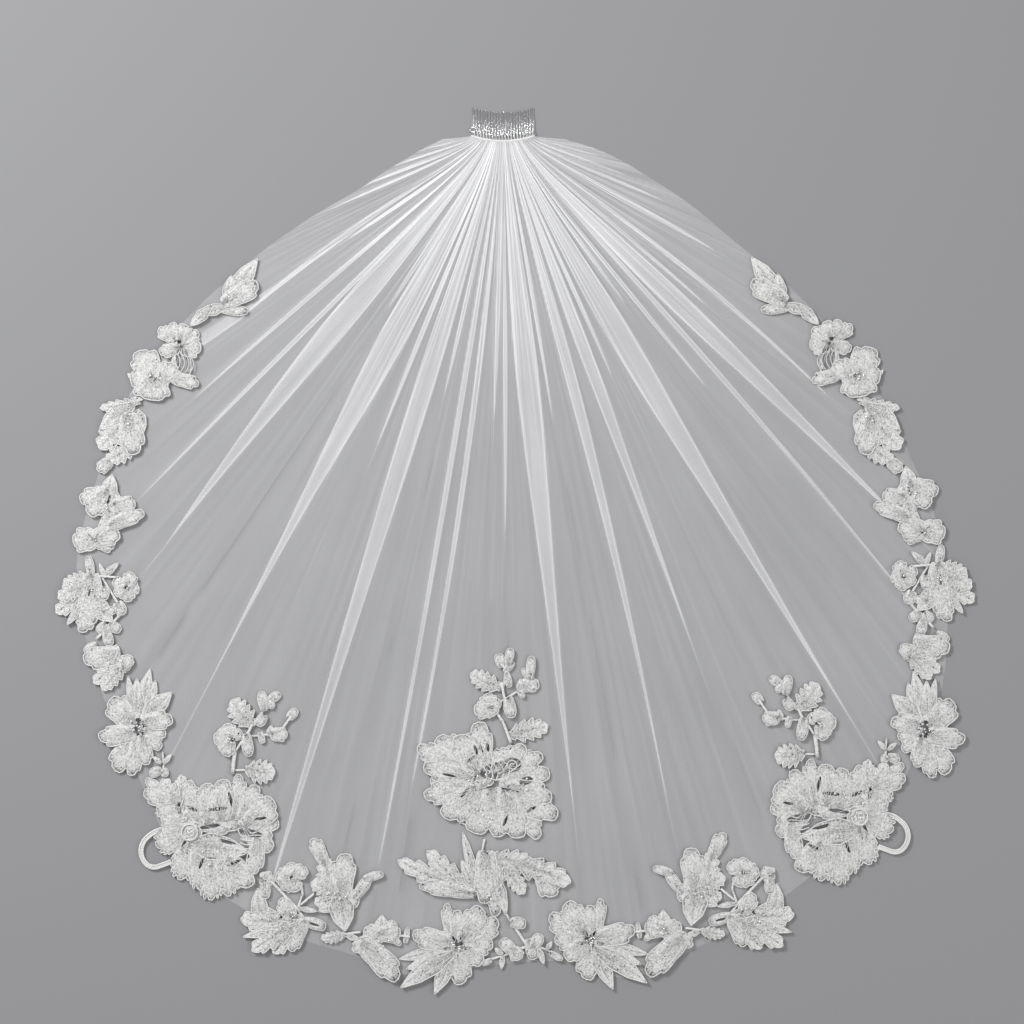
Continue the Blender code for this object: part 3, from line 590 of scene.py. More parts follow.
def fan_grid(form, long, width, phase):
    """A round shape's places along and across, its dome, and its tone with painted shade, in rows out from
    its base and columns round its rim.

    With b from -1 to 1 round the rim, its point is long times (0.5 + 0.5 cos(pi b)) to the power 1.4(1 -
    full) along, and half the width times (0.5 b^2 + (1 - 0.5 b^2) sin(pi b)^0.6) across. Scallops scale it
    by 1 + depth(|sin| - 0.75). Rows shrink it to the base."""
    a = np.linspace(0, 1, form["rows"])[:, None] ** 0.8
    b = np.linspace(-1, 1, form["columns"])[None, :]
    scallop = np.abs(np.sin(np.pi * form["lobes"] * (b + 1) / 2 + 0.35 * np.sin(phase + 3 * b)))
    scale = 1 + form["depth"] * (scallop - 0.75) * (1 - b**6) * a**2
    base_share = 0.5 * b**2
    along = long * (0.5 + 0.5 * np.cos(np.pi * b)) ** (1.4 * (1 - form["full"]) + 0.2) * a * scale
    half = width / 2 * np.sign(b) * (base_share + (1 - base_share) * np.sin(np.pi * np.abs(b)) ** 0.6)
    across = half * a * scale * (1 + 0.1 * np.sin(phase + 2 * b))
    pleats = 0.10 * np.cos(5 * np.pi * b + phase) * a
    dome = np.sqrt(1.02 - a**5) * (0.35 + 0.65 * np.sin(np.pi * (0.1 + 0.7 * a))) + pleats
    # Painted shade: dark at the base and just inside the rim, darker in the pleats' troughs and lighter on
    # their ridges.
    tone = (0.1 + 0.9 * a**0.8) * (1 - 0.9 * a**8) + 0.14 * np.cos(5 * np.pi * b + phase) * a * (1 - a)
    return along, across, dome + 0.12 * b * a, tone + 0 * b


def strip_grid(form, long, width, phase):
    """A long shape's places along and across, its dome, and its tone with painted shade, in rows from base
    to tip and columns from side to side.

    Across is b times half the width times the outline at a, with teeth that lean forward. The dome is
    the root of 1 - 0.9 b squared, less a groove down the middle."""
    a = np.linspace(0, 1, form["rows"])[:, None]
    b = np.linspace(-1, 1, form["columns"])[None, :]
    breadth = np.interp(a, *np.array(form["outline"]).T)
    breadth = breadth * (1 - form["depth"] * (1 - (form["teeth"] * a + 0.2 * np.sign(b)) % 1))
    along = long * (a + 0.05 * np.abs(b) * (form["teeth"] > 0) * np.sin(np.pi * a))
    across = b * breadth * width / 2 + 0.06 * width * np.sin(np.pi * a) * np.sin(phase)
    groove = 0.35 * np.exp(-((b / 0.16) ** 2)) * (width > 7)
    dome = np.sqrt(1 - 0.9 * b**2) * np.sin(np.pi * (0.12 + 0.76 * a)) ** 0.6 - groove
    # Painted shade: darker towards the base, along the sides by the cord and in the groove down the middle.
    # Stems without a cord are whiter.
    tone = 0.35 + 0.6 * a - 0.45 * np.abs(b) ** 9 - 0.9 * groove
    return along, across, dome, tone + 0.3 * (form["ribs"] == 0)


def pad_faces(rows, columns, start):
    """The quads of a pad: its top, its underside, and the wall round its border between the two."""
    under = rows * columns
    top = np.array(grid_faces(rows, columns, start))
    index = np.arange(under).reshape(rows, columns) + start
    border = np.concatenate([index[0, :-1], index[:-1, -1], index[-1, :0:-1], index[:0:-1, 0]])
    onward = np.roll(border, -1)
    wall = np.stack([border, onward, onward + under, border + under], axis=1)
    return np.vstack([top[:, ::-1], top + under, wall]).tolist()


def add_shape(bundle, kind, base, tip, width, level, phase, open_at, close):
    """One petal, leaf, bud or stem: a closed domed pad with a cord round its edge and threads over it.
    close is how many times closer its rows are, which an open pattern needs."""
    is_round = kind in ROUND_KINDS
    form = dict(zip(ROUND_PARTS, ROUND_KINDS[kind]) if is_round else zip(LONG_PARTS, LONG_KINDS[kind]))
    if is_round:
        form["rows"] = (form["rows"] - 1) * close + 1
    rows, columns = form["rows"], form["columns"]
    run = tip - base
    long = np.hypot(*run)
    ahead = run / long
    side = np.array([-ahead[1], ahead[0]])
    along, across, dome, tone = (fan_grid if is_round else strip_grid)(form, long, width, phase)
    lift = LACE_BASE + PAD_LIFT + level
    height = lift + form["rise"] * min(1.0, width / 18 + 0.25) * dome
    flat = base + along[..., None] * ahead + across[..., None] * side
    top = np.concatenate([flat, height[..., None]], axis=-1)
    under = np.concatenate([flat, np.full_like(height, LACE_BASE)[..., None]], axis=-1)
    stitched = np.stack([along, across], axis=-1) + 50 * phase
    opening = open_at(flat[..., 0], flat[..., 1])
    # Painted shade: the underside's tone is 0, so the wall of each pad darkens down to its base.
    both = [np.concatenate(pair) for pair in ((stitched, stitched), (opening, opening), (tone, 0 * tone))]
    bundle.add(np.concatenate([top, under]), pad_faces(rows, columns, bundle.count), *both)
    if not form["ribs"]:
        return
    cord = CORD * min(1.0, 0.5 + width / 50)
    rim = top[-1] if is_round else np.vstack([top[:, 0], top[-1, 1:-1], top[::-1, -1]])
    rim[:, 2] = np.maximum(rim[:, 2], lift + 0.2)
    bundle.tube(rim, cord, 5, numbers=CORDED)
    for rib in range(form["ribs"]):
        b = (rib + 0.5) / form["ribs"] * 1.3 - 0.65 + 0.04 * np.sin(3 * phase + rib)
        line = top[:, int(round((b + 1) / 2 * (columns - 1)))]
        line = line[1 : max(4, int(rows * (0.8 if rib % 2 else 0.62)))] + (0, 0, 0.15)
        bundle.tube(line, RIB * np.linspace(1.0, 0.5, len(line)), 4, numbers=CORDED)
    if kind == "leaf":
        add_veins(bundle, top, rows, columns)


def add_veins(bundle, top, rows, columns):
    """Side veins of a leaf, each from the middle out and forward to a tooth of the rim."""
    middle = columns // 2
    for row in range(3, rows - 5, 5):
        for step in (-1, 1):
            out = np.arange(5)
            column = middle + step * np.minimum(out, middle)
            line = top[np.minimum(row + out, rows - 1), column] + (0, 0, 0.2)
            bundle.tube(line, RIB * 0.9, 4, numbers=CORDED)


def opening_of(holes):
    """How far a place is from the nearest open patch: its distance to an oval's middle in the oval's own
    half widths, so 1 is on its edge. Each row: across, down, half width, half length, turn."""

    def distance(across, down):
        nearest = np.full(np.shape(across), FILLED)
        for middle_across, middle_down, half_width, half_length, turn in holes:
            lean = np.radians(turn)
            x = (across - middle_across) * np.cos(lean) + (down - middle_down) * np.sin(lean)
            y = (down - middle_down) * np.cos(lean) - (across - middle_across) * np.sin(lean)
            nearest = np.minimum(nearest, np.hypot(x / half_width, y / half_length))
        return nearest

    return distance


LACE_WHITE = (0.95, 0.95, 0.94)
thread, thread_shader, strand = new_material("lace_thread", LACE_WHITE, 0.55, {"Sheen Weight": 0.25})
stitch = strand.cloth()
slant = strand.node("Math", {"operation": "ABSOLUTE"}, {0: stitch.part(1)})
slanted = stitch.part(0) + slant * 0.7
satin_rows = (slanted * (2 * np.pi / (1.9 * MM)) + stitch.noise(260.0) * 5.0).wave() * 0.5 + 0.5
mottle = stitch.noise(430.0, 3.0).from_to(0.34, 0.66)
clumps = stitch.noise(170.0, 2.0).from_to(0.38, 0.62)
gaps = stitch.noise(360.0, 1.0)
# The attribute holds the pads' tone with painted shade, and a whiter tone on the cords.
painted_shade_tone = strand.numbers("painted_shade_tone")
on_cord = painted_shade_tone.from_to(1.1, 1.2)
tone = painted_shade_tone * 0.74 + satin_rows * 0.16 + mottle * 0.36 + clumps * 0.16 - 0.2 + on_cord * 0.4
feed(thread_shader, "Base Color", tone.from_to(0.0, 1.0).blend((0.3, 0.3, 0.3), (1.0, 1.0, 0.99)))
feed(thread_shader, "Roughness", mottle * 0.2 + 0.45)
raise_by(thread_shader, satin_rows * 0.6 + mottle * 0.6, 0.0006)
netted = (gaps + painted_shade_tone * 0.15 + on_cord).from_to(0.40, 0.44, 0.1, 1.0)
feed(thread_shader, "Alpha", strand.numbers("opening").from_to(0.9, 1.1) * netted)


def make_lace(node, rows, openings=(), cords=(), close=1, side="", mirror_shift=None, drop=0):
    """Builds one motif. A row is a kind and its shapes, in the order in which they are sewn on: across
    and down of the base and of the tip, and the width. cords are paths with their radii. With mirror_shift
    it is a right-hand copy: across becomes mirror_shift - across, and down becomes down + drop."""
    bundle = Bundle()
    open_at = opening_of(openings)
    draw = np.random.default_rng(100)
    shapes = [(kind, shape) for kind, *same in rows for shape in same]
    for index, (kind, (base_across, base_down, tip_across, tip_down, width)) in enumerate(shapes):
        ends = np.array([(base_across, base_down), (tip_across, tip_down)], float)
        level = LAYER_STEP * (index % 3)
        add_shape(bundle, kind, *ends, width, level, draw.uniform(0, 6), open_at, close)
    for path, radius in cords:
        bundle.tube(path, radius, 6, numbers=CORDED)
    if mirror_shift is not None:
        for points in bundle.points:
            points[:, 0] = mirror_shift - points[:, 0]
            points[:, 1] += drop
        bundle.faces = [face[::-1] for face in bundle.faces]
    piece = bundle.piece(node + side + "_thread", thread, "lace", ("opening", "painted_shade_tone"))
    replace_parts(piece, node + side)


mirrored = {}


def make_pair(node, mirror_shift, drop, rows, **kept):
    """A motif on the left and its mirrored copy on the right, whose place is noted in mirrored."""
    mirrored[node] = (mirror_shift, drop)
    make_lace(node, rows, side="_left", **kept)
    make_lace(node, rows, side="_right", mirror_shift=mirror_shift, drop=drop, **kept)


# fmt: off
# The open middle of the rose is bridged by curved bars, and one of them ends in a little curl.
ROSE_HOLES = (
    (-8, 790, 22, 10, -12), (12, 783, 11, 9, 0), (29, 803, 9, 5, -20), (-34, 764, 2, 7, -20),
    (-27, 763, 2, 7, -16), (-19, 761, 2, 6, -8), (-67, 796, 10, 1.6, 12), (12, 815, 9, 2, 8),
    (36, 838, 9, 2.4, -34), (3, 853, 2, 8, 24), (-48, 818, 2, 8, 40), (-40, 776, 2, 7, 50),
)


def bar(middle_across, middle_down, size, begin, end, tighten=0.0, lift=5.0):
    """An arc of a cord: size is its radius, which shrinks by the share tighten on the way from the angle
    begin to the angle end, so that a long one is a spiral."""
    way = np.linspace(0, 1, 26)
    turn = np.radians(begin + (end - begin) * way)
    size = size * (1 - tighten * way)
    across, down = middle_across + size * np.cos(turn), middle_down + size * np.sin(turn)
    return np.column_stack([across, down, np.full_like(way, lift)])


rose_bars = [(bar(-34 + 7.0 * step, 796 - 1.2 * step, 14, -70, 42), 0.75) for step in range(5)]
rose_bars += [(bar(12, 784, 7.5, -200, 330, 0.72), 0.85), (bar(-6, 772, 30, 60, 118), 0.7)]
make_lace("lace_centre_rose", (
    ("bud", (-44, 800, -12, 800, 24)), ("petal", (-26, 795, -30, 732, 34), (-32, 795, -53, 747, 34),
     (-36, 795, -80, 750, 34), (-50, 790, -105, 762, 26), (-36, 798, -97, 786, 28),
     (-36, 804, -89, 806, 28), (-36, 808, -96, 823, 30), (-34, 812, -72, 848, 38),
     (-24, 812, -36, 867, 44), (-14, 812, -4, 871, 36), (2, 814, 18, 873, 34), (12, 826, 44, 873, 26),
     (4, 820, 66, 846, 32), (4, 812, 59, 824, 30), (-6, 802, 56, 794, 30), (-8, 798, 47, 771, 28),
     (-10, 796, 26, 761, 26), (-14, 796, 3, 763, 24)),
), openings=ROSE_HOLES, cords=rose_bars, close=2)

make_lace("lace_centre_sprig", (
    ("petal", (-16, 714, -20, 695, 22), (-14, 713, -35, 715, 22), (-18, 711, -9, 720, 18)),
    ("bud", (-16, 712, -4, 703, 13)), ("stem", (-12, 712, 0, 730, 5), (-1, 727, 10, 756, 5),
     (-8, 708, 24, 688, 4)), ("leaf", (-2, 688, -40, 669, 24)), ("stem", (3, 704, -2, 680, 5)),
    ("bud", (-1, 662, -6, 645, 12)), ("stem", (0, 690, 5, 656, 4)), ("bud", (6, 658, 10, 638, 10),
     (2, 668, 13, 655, 9), (4, 668, 8, 686, 9)), ("stem", (4, 664, -2, 657, 4)),
    ("petal", (22, 686, 44, 682, 19)), ("blade", (20, 692, 22, 676, 8)), ("bud", (34, 676, 36, 648, 11),
     (32, 676, 24, 663, 7), (18, 690, 26, 699, 7), (7, 698, 11, 724, 15)),
    ("leaf", (6, 747, 56, 735, 27)),
), openings=((-14, 711, 2.6, 2.2, 0), (-7, 702, 1.6, 2, 0)))

make_lace("lace_centre_leaves", (
    ("leaf", (-34, 948, -94, 891, 26), (-38, 944, -131, 903, 26)), ("petal", (-36, 944, -102, 933, 18)),
    ("blade", (-32, 940, -50, 868, 13), (-32, 944, -52, 902, 14)), ("petal", (-22, 890, -22, 954, 30),
     (-14, 896, -8, 970, 26)), ("leaf", (-24, 902, 38, 904, 25), (8, 904, 84, 930, 31)),
    ("petal", (48, 916, 62, 947, 26)), ("leaf", (0, 908, 26, 944, 22)), ("blade", (-8, 920, 4, 968, 16)),
    ("stem", (-27, 896, -23, 876, 4), (0, 964, 32, 1012, 5)), ("bud", (9, 980, 28, 982, 15),
     (32, 1000, 38, 1026, 15), (36, 1012, 47, 995, 15)), ("blade", (44, 1010, 51, 1032, 8)),
    ("stem", (40, 1008, 72, 1023, 4)), ("blade", (54, 1014, 61, 1004, 6)),
    ("bud", (58, 1017, 74, 1026, 8)), ("stem", (34, 1010, 14, 1014, 5)),
    ("bud", (16, 1018, -2, 1002, 15)), ("petal", (12, 1012, 20, 1026, 17)),
    ("stem", (12, 1018, -22, 1028, 4)), ("blade", (0, 1020, -10, 1012, 7)),
    ("bud", (-14, 1026, -26, 1032, 7)), ("blade", (0, 1021, -2, 1038, 7)),
))

make_pair("lace_leaf_spray", 4, -2, (
    ("point", (-342, 206, -307, 152, 25)), ("blade", (-346, 208, -339, 172, 14)),
    ("petal", (-350, 208, -307, 184, 24)), ("bud", (-358, 212, -319, 217, 13)),
    ("blade", (-345, 210, -379, 220, 15), (-364, 210, -390, 235, 15)),
))

blossom_bars = [(bar(-418 + 5.5 * step, 280 + 1.0 * step, 15, -48, 48), 0.6) for step in range(4)]
make_pair("lace_blossom_pair", 6, -4, (
    ("petal", (-409, 252, -430, 240, 19), (-408, 254, -413, 232, 17), (-403, 254, -397, 234, 19),
     (-401, 256, -381, 243, 18), (-402, 260, -378, 262, 26), (-405, 262, -428, 268, 17),
     (-401, 254, -402, 302, 26), (-414, 299, -381, 307, 18), (-430, 304, -410, 284, 26),
     (-435, 306, -453, 267, 34), (-432, 300, -464, 303, 36), (-437, 298, -439, 327, 42)),
    ("blade", (-455, 308, -469, 294, 7)),
), openings=((-400, 277, 8, 17, -6), (-404, 255, 3, 2.4, 0), (-434, 301, 3.2, 2.4, 30)),
   cords=blossom_bars)

make_pair("lace_bud_and_leaves", -8, 0, (
    ("blade", (-466, 327, -450, 327, 7)), ("leaf", (-452, 330, -503, 338, 15)),
    ("point", (-462, 334, -503, 364, 24), (-460, 340, -450, 370, 22)),
    ("leaf", (-458, 338, -504, 388, 36)), ("petal", (-470, 345, -460, 394, 30)),
    ("leaf", (-456, 376, -494, 404, 26)), ("petal", (-490, 404, -505, 416, 17)),
), openings=((-470, 352, 2, 6, 30), (-482, 384, 6, 1.8, 0)))

make_pair("lace_rose", 15, -10, (
    ("petal", (-492, 446, -527, 453, 28)), ("point", (-494, 456, -488, 421, 22)),
    ("petal", (-492, 440, -517, 469, 26), (-498, 440, -480, 470, 30), (-488, 458, -460, 457, 21),
     (-492, 486, -450, 468, 20), (-489, 462, -500, 498, 18), (-508, 502, -536, 504, 32),
     (-512, 502, -480, 494, 28), (-510, 504, -486, 510, 18)),
), openings=((-492, 452, 2, 6, 20), (-508, 503, 3, 1.8, 0)))

make_pair("lace_spray", 30, -14, (
    ("bud", (-514, 548, -518, 523, 11)), ("leaf", (-512, 548, -549, 558, 22), (-512, 556, -555, 575, 24),
     (-512, 564, -558, 593, 26)), ("petal", (-514, 544, -514, 606, 32)),
    ("blade", (-530, 588, -544, 608, 9)), ("petal", (-514, 578, -525, 617, 24)),
    ("point", (-514, 580, -488, 604, 24)), ("stem", (-512, 547, -483, 549, 4)),
    ("blade", (-498, 549, -504, 532, 6), (-500, 549, -480, 531, 9)), ("petal", (-470, 562, -463, 544, 17),
     (-470, 562, -455, 565, 17), (-470, 562, -468, 579, 17), (-470, 562, -484, 570, 17)),
    ("bud", (-470, 562, -486, 552, 15)), ("stem", (-502, 547, -478, 586, 4)),
    ("bud", (-498, 560, -500, 577, 14), (-482, 580, -475, 596, 16)), ("stem", (-476, 594, -508, 626, 5)),
    ("bud", (-500, 592, -484, 590, 11), (-492, 606, -478, 616, 13), (-496, 606, -506, 617, 11),
     (-496, 614, -491, 634, 12)),
), openings=((-470, 562, 2.4, 2, 0), (-516, 566, 2, 7, 10)))

make_pair("lace_leaf_pair", 34, -14, (
    ("bud", (-506, 634, -522, 643, 15)), ("petal", (-478, 644, -522, 652, 28)),
    ("blade", (-488, 652, -482, 633, 14)), ("leaf", (-466, 648, -511, 681, 24),
     (-470, 652, -500, 690, 20)), ("petal", (-474, 664, -466, 647, 18)),
))

make_pair("lace_lily", 72, 3, (
    ("point", (-452, 726, -441, 664, 20), (-456, 726, -457, 676, 19)),
    ("blade", (-462, 722, -468, 673, 11), (-446, 722, -434, 678, 15)),
    ("point", (-448, 726, -414, 693, 24)), ("petal", (-452, 732, -414, 726, 24),
     (-452, 738, -422, 744, 22), (-460, 734, -490, 703, 36), (-458, 742, -503, 749, 26),
     (-458, 746, -484, 789, 28), (-454, 748, -464, 795, 22), (-450, 746, -447, 782, 20),
     (-450, 742, -428, 762, 20)),
), openings=((-455, 727, 4, 2.6, 0), (-447, 734, 3.6, 2.4, 20), (-458, 738, 4.5, 2.4, 0),
             (-450, 744, 4, 2.2, 10)))

make_pair("lace_sprig", 54, -17, (
    ("stem", (-425, 767, -424, 792, 4)), ("blade", (-424, 782, -414, 770, 6), (-426, 782, -437, 773, 6)),
    ("bud", (-426, 790, -441, 795, 12), (-427, 793, -418, 792, 11)),
))

BOUQUET_HOLES = (
    (-356, 838, 14, 2.4, -6), (-366, 860, 15, 2.6, -10), (-316, 868, 16, 5, 10), (-322, 897, 6, 4, 0),
    (-376, 905, 2.0, 9, 24), (-404, 838, 2.2, 11, -8), (-345, 879, 14, 2.2, 14), (-340, 826, 2, 10, -14),
    (-388, 838, 10, 2.2, 24), (-398, 882, 2, 9, 24), (-335, 905, 11, 2, -24), (-303, 850, 9, 1.8, -8),
)

# The bouquet's loop is a pair of cords sewn side by side. It leaves the petals and comes back to them.
BOUQUET_CORD = np.array([
    (-408, 862), (-426, 863), (-443, 871), (-453, 885), (-451, 902), (-439, 913), (-424, 908), (-404, 900),
])


def smooth_route(points, count):
    """A curve through the route: straight runs between its points, softened by a mean over a seventh."""
    knots = np.linspace(0, 1, len(points))
    way = np.linspace(0, 1, count + 12)
    runs = np.stack([np.interp(way, knots, points[:, k]) for k in range(2)], axis=-1)
    return np.stack([np.convolve(runs[:, k], np.full(13, 1 / 13), "valid") for k in range(2)], axis=-1)


def beside(route, offset, height):
    """The route moved square to itself by offset, at one height."""
    run = np.gradient(route, axis=0)
    run = run / np.linalg.norm(run, axis=1, keepdims=True)
    moved = route + offset * np.stack([-run[:, 1], run[:, 0]], axis=-1)
    return np.column_stack([moved, np.full(len(route), height)])


loop = smooth_route(BOUQUET_CORD, 70)
loop_cords = ((2.1, 2.6, 1.25), (-2.1, 2.6, 1.25), (0, 1.9, 1.2))
bouquet_cords = [(beside(loop, offset, height), radius) for offset, height, radius in loop_cords]
bouquet_cords += [(bar(-391, 867, 10, 0, 360, lift=6.9), 1.0), (bar(-391, 867, 5.5, 0, 360, lift=6.9), 0.8)]
bouquet_cords += [(bar(-316, 852 + 5 * step, 26, 70 - 12 * step, 118, lift=5.2), 0.7) for step in range(3)]
make_pair("lace_bouquet", 54, -19, (
    ("bud", (-418, 822, -446, 802, 14)), ("petal", (-410, 830, -447, 818, 22)),
    ("leaf", (-402, 846, -425, 801, 24), (-400, 846, -402, 796, 20)),
    ("fringe", (-398, 850, -432, 838, 22), (-395, 856, -426, 852, 22)),
    ("petal", (-380, 856, -394, 805, 26), (-366, 856, -371, 808, 32), (-352, 852, -350, 803, 34),
     (-336, 852, -329, 797, 19), (-326, 852, -309, 810, 26), (-322, 862, -287, 829, 34),
     (-330, 862, -282, 855, 30), (-326, 858, -290, 888, 30), (-306, 874, -312, 918, 22),
     (-402, 850, -330, 856, 34)), ("fringe", (-395, 868, -432, 884, 36)),
    ("petal", (-405, 862, -378, 872, 26)), ("fringe", (-390, 876, -402, 926, 36),
     (-382, 880, -378, 938, 28)), ("point", (-392, 882, -318, 892, 34)),
    ("fringe", (-368, 896, -364, 951, 30), (-350, 894, -344, 946, 28)),
    ("petal", (-344, 900, -316, 934, 28)), ("bud", (-402, 867, -380, 867, 20)),
), openings=BOUQUET_HOLES, cords=bouquet_cords, close=2)

make_pair("lace_bouquet_sprig", 55, -20, (
    ("petal", (-340, 752, -346, 733, 22), (-338, 750, -360, 751, 24), (-340, 752, -347, 771, 18)),
    ("bud", (-338, 750, -327, 741, 14)), ("stem", (-338, 795, -334, 762, 7), (-334, 766, -322, 748, 4),
     (-324, 749, -290, 745, 4)), ("leaf", (-312, 736, -338, 702, 30)), ("stem", (-312, 730, -322, 750, 5),
     (-311, 729, -296, 712, 4)), ("bud", (-298, 716, -302, 692, 13)), ("stem", (-297, 714, -290, 702, 4)),
    ("bud", (-292, 704, -279, 694, 12), (-294, 706, -286, 711, 9), (-298, 720, -306, 734, 13)),
    ("blade", (-293, 748, -289, 734, 8)), ("petal", (-290, 744, -270, 745, 18)),
    ("stem", (-280, 744, -264, 722, 4)), ("bud", (-268, 726, -258, 714, 12), (-304, 742, -300, 756, 8),
     (-320, 744, -317, 772, 14)), ("stem", (-336, 790, -318, 790, 4)),
    ("leaf", (-322, 789, -285, 793, 30)),
), openings=((-337, 752, 2.6, 2.4, 0), (-330, 744, 1.8, 1.6, 0)))

make_pair("lace_hem_leaf", 36, -6, (
    ("leaf", (-250, 976, -327, 976, 34)), ("blade", (-252, 980, -324, 998, 16)),
    ("leaf", (-250, 978, -313, 1015, 28), (-248, 980, -287, 1018, 26)),
    ("petal", (-246, 976, -264, 1015, 18), (-262, 974, -277, 951, 20)),
    ("point", (-300, 980, -306, 938, 22)), ("petal", (-262, 924, -266, 906, 20),
     (-265, 922, -245, 914, 20), (-266, 924, -258, 941, 20), (-264, 922, -274, 939, 18),
     (-264, 924, -283, 922, 20), (-304, 926, -286, 926, 18)), ("bud", (-298, 930, -297, 950, 13)),
    ("stem", (-290, 928, -254, 966, 5), (-252, 932, -250, 946, 4), (-250, 944, -258, 966, 4),
     (-258, 962, -236, 944, 4), (-260, 960, -248, 976, 5)), ("bud", (-250, 978, -222, 986, 14)),
    ("blade", (-256, 962, -232, 966, 7)),
), openings=((-264, 923, 2.6, 2.4, 0), (-300, 928, 2.4, 2, 0), (-236, 982, 8, 1.6, 16),
             (-276, 972, 2, 5, 40)))

make_pair("lace_tulip", 38, -7, (
    ("leaf", (-206, 948, -224, 900, 28)), ("petal", (-202, 948, -197, 896, 32)),
    ("leaf", (-204, 946, -239, 930, 24), (-206, 950, -235, 956, 20)),
    ("blade", (-200, 954, -230, 966, 14)), ("point", (-206, 944, -197, 990, 32)),
    ("petal", (-206, 942, -181, 956, 26)), ("bud", (-186, 950, -166, 922, 14),
     (-174, 926, -150, 919, 11)), ("petal", (-222, 908, -237, 876, 17)),
))

make_pair("lace_small_leaf", 50, -5, (
    ("leaf", (-195, 995, -227, 1000, 15)), ("stem", (-200, 995, -178, 992, 4)),
    ("blade", (-196, 996, -180, 1000, 8)),
))

make_pair("lace_bud_leaf", 49, -6, (
    ("point", (-150, 1000, -151, 971, 20)), ("petal", (-148, 996, -173, 992, 24),
     (-156, 994, -129, 994, 22)), ("bud", (-144, 992, -136, 979, 14), (-140, 996, -128, 1008, 8)),
    ("stem", (-132, 996, -116, 998, 4)), ("bud", (-122, 1006, -119, 987, 7)),
    ("petal", (-166, 1000, -186, 1016, 18), (-176, 1004, -132, 1049, 32)),
))

make_pair("lace_hem_flower", 52, -6, (
    ("petal", (-64, 1004, -71, 958, 17), (-58, 1004, -57, 966, 19), (-52, 1004, -27, 963, 29),
     (-48, 1006, -8, 978, 28), (-50, 1008, -14, 1006, 28), (-52, 1010, -27, 1030, 26),
     (-60, 1010, -52, 1056, 32)), ("point", (-62, 1012, -85, 1069, 22)),
    ("petal", (-60, 1006, -111, 996, 28)), ("blade", (-60, 1012, -129, 1026, 16)),
    ("point", (-62, 1014, -120, 1038, 20), (-62, 1018, -127, 1061, 24)),
), openings=((-62, 998, 2, 5, -20), (-52, 1000, 1.8, 5, 20), (-70, 1012, 5, 1.8, 0),
             (-46, 1012, 2, 3, 40)))

# ---- The beads -------------------------------------------------------------------------------------
# Small pearl beads and clear seed beads are sewn one by one to the middles of the flowers.

BEAD_SIZES = (1.05, 1.5)
BEAD_HEIGHT = 6.6
BEAD_RINGS = 6
BEAD_SIDES = 9

# Clusters: across and down of the middle, how far they spread, and how many beads. First those on the
# middle line, and then those of each left-hand motif, which its mirrored copy has too.
CENTRE_CLUSTERS = (
    (-30, 800, 20, 14), (-14, 760, 16, 7), (-30, 842, 22, 8), (30, 812, 18, 7),
    (-14, 950, 9, 10), (-10, 930, 16, 6), (-62, 922, 20, 5), (58, 922, 14, 4),
)
PAIRED_CLUSTERS = {
    "lace_leaf_spray": ((-338, 198, 9, 5),),
    "lace_blossom_pair": ((-434, 301, 11, 8),),
    "lace_bud_and_leaves": ((-472, 352, 14, 6),),
    "lace_rose": ((-494, 456, 10, 7), (-508, 502, 8, 4)),
    "lace_spray": ((-514, 568, 12, 8), (-470, 561, 4, 4)),
    "lace_leaf_pair": ((-480, 656, 12, 6),),
    "lace_lily": ((-454, 736, 10, 14),),
    "lace_bouquet": ((-391, 867, 8, 16), (-360, 850, 34, 12), (-352, 900, 28, 9)),
    "lace_bouquet_sprig": ((-340, 752, 5, 5),),
    "lace_hem_leaf": ((-264, 968, 10, 10), (-288, 985, 14, 7), (-264, 923, 4, 4)),
    "lace_tulip": ((-204, 946, 12, 9),),
    "lace_bud_leaf": ((-150, 1000, 12, 8),),
    "lace_hem_flower": ((-58, 1009, 10, 16), (-72, 1034, 18, 6)),
}
# fmt: on


def ball(middle, size):
    """A sphere: size times sine and cosine of latitude and longitude, with its poles drawn to a point."""
    latitude = np.linspace(-0.494, 0.494, BEAD_RINGS)[:, None] * np.pi
    longitude = np.linspace(0, 2 * np.pi, BEAD_SIDES, endpoint=False)[None, :]
    shape = (np.cos(latitude) * np.cos(longitude), np.cos(latitude) * np.sin(longitude), np.sin(latitude))
    return middle + size * np.stack(np.broadcast_arrays(*shape), axis=-1)


pearl, pearl_shader, strand = new_material("bead_pearl", (0.9, 0.9, 0.89), 0.12, {"Coat Weight": 0.6})
bead_place = strand.node("TexCoord", {}, {}, output=3)
# Painted sheen: patches that go from grey to white in the pearls' colour.
pearl_painted_sheen = bead_place.noise(700.0).from_to(0.3, 0.7)
feed(pearl_shader, "Base Color", pearl_painted_sheen.blend((0.72, 0.72, 0.74), (1.0, 1.0, 0.98)))
feed(pearl_shader, "Metallic", bead_place.noise(450.0).from_to(0.56, 0.6) * 0.75)

beads = Bundle()
draw = np.random.default_rng(41)
clusters = [(*cluster, None, 0) for cluster in CENTRE_CLUSTERS]
clusters += [(*cluster, None, 0) for sewn in PAIRED_CLUSTERS.values() for cluster in sewn]
clusters += [(*cluster, *mirrored[node]) for node, sewn in PAIRED_CLUSTERS.items() for cluster in sewn]
for across_middle, down_middle, spread, count, mirror_shift, drop in clusters:
    for across_offset, down_offset in draw.normal(0, 0.5 * spread, (count, 2)).clip(-spread, spread):
        size = draw.choice(BEAD_SIZES)
        bead_across = across_middle + across_offset
        bead_down = down_middle + 0.7 * down_offset
        if mirror_shift is not None:
            bead_across, bead_down = mirror_shift - bead_across, bead_down + drop
        bead = ball((bead_across, bead_down, BEAD_HEIGHT), size)
        beads.add(bead, tube_faces(BEAD_RINGS, BEAD_SIDES, beads.count), np.zeros(2))
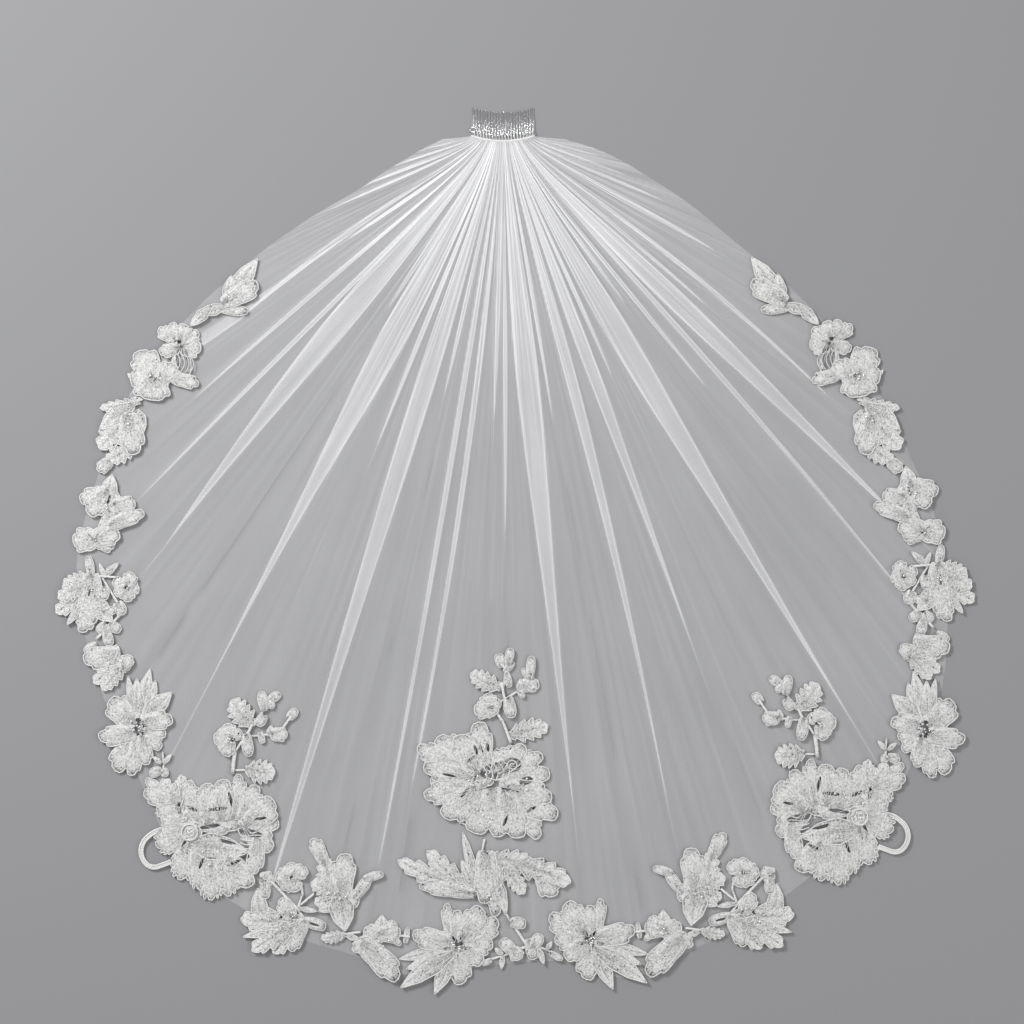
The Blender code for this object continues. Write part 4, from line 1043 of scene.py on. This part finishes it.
beads.piece("beads", pearl, "lace")

# ---- The table, the light and the camera -----------------------------------------------------------
# The veil lies on a plain pale floor under soft studio light, and is seen from straight above.

FLOOR_COLOUR = (0.33, 0.33, 0.34)
FLOOR_REACH = 60.0
FLOOR_HEIGHT = -0.0005
SKY_STRENGTH = 0.42
VIEW_WIDTH = 1.28
VIEW_MIDDLE = (0.01125, -0.4675)  # from the middle of the heading
CAMERA_HEIGHT = 3.2


def add_light(name, place, size, power):
    """A square soft box that faces the middle of the veil."""
    lamp = bpy.data.lights.new(name, "AREA")
    lamp.energy = power
    lamp.size = size
    light = bpy.data.objects.new(name, lamp)
    light.location = place
    light.rotation_euler = (-light.location).to_track_quat("-Z", "Y").to_euler()
    bpy.context.scene.collection.objects.link(light)


floor_mesh = bpy.data.meshes.new("floor")
corners = [(side * FLOOR_REACH, end * FLOOR_REACH, 0) for side, end in ((-1, -1), (1, -1), (1, 1), (-1, 1))]
floor_mesh.from_pydata(corners, [], [(0, 1, 2, 3)])
floor_mesh.materials.append(new_material("floor_paper", FLOOR_COLOUR, 0.9)[0])
floor = bpy.data.objects.new("floor", floor_mesh)
floor.location.z = FLOOR_HEIGHT
bpy.context.scene.collection.objects.link(floor)

add_light("key_light", (-2.0, 1.9, 2.2), 0.8, 80)
add_light("fill_light", (2.2, -0.6, 2.6), 2.4, 24)

world = bpy.data.worlds.new("studio")
world.use_nodes = True
sky = world.node_tree.nodes["Background"]
sky.inputs["Color"].default_value = (1.0, 1.0, 1.0, 1.0)
sky.inputs["Strength"].default_value = SKY_STRENGTH
bpy.context.scene.world = world
bpy.context.scene.view_settings.view_transform = "Standard"

lens = bpy.data.cameras.new("camera")
lens.angle = 2 * np.arctan(VIEW_WIDTH / 2 / CAMERA_HEIGHT)
camera = bpy.data.objects.new("camera", lens)
camera.location = (PLACE_X + VIEW_MIDDLE[0], PLACE_Y + VIEW_MIDDLE[1], CAMERA_HEIGHT)
bpy.context.scene.collection.objects.link(camera)
bpy.context.scene.camera = camera
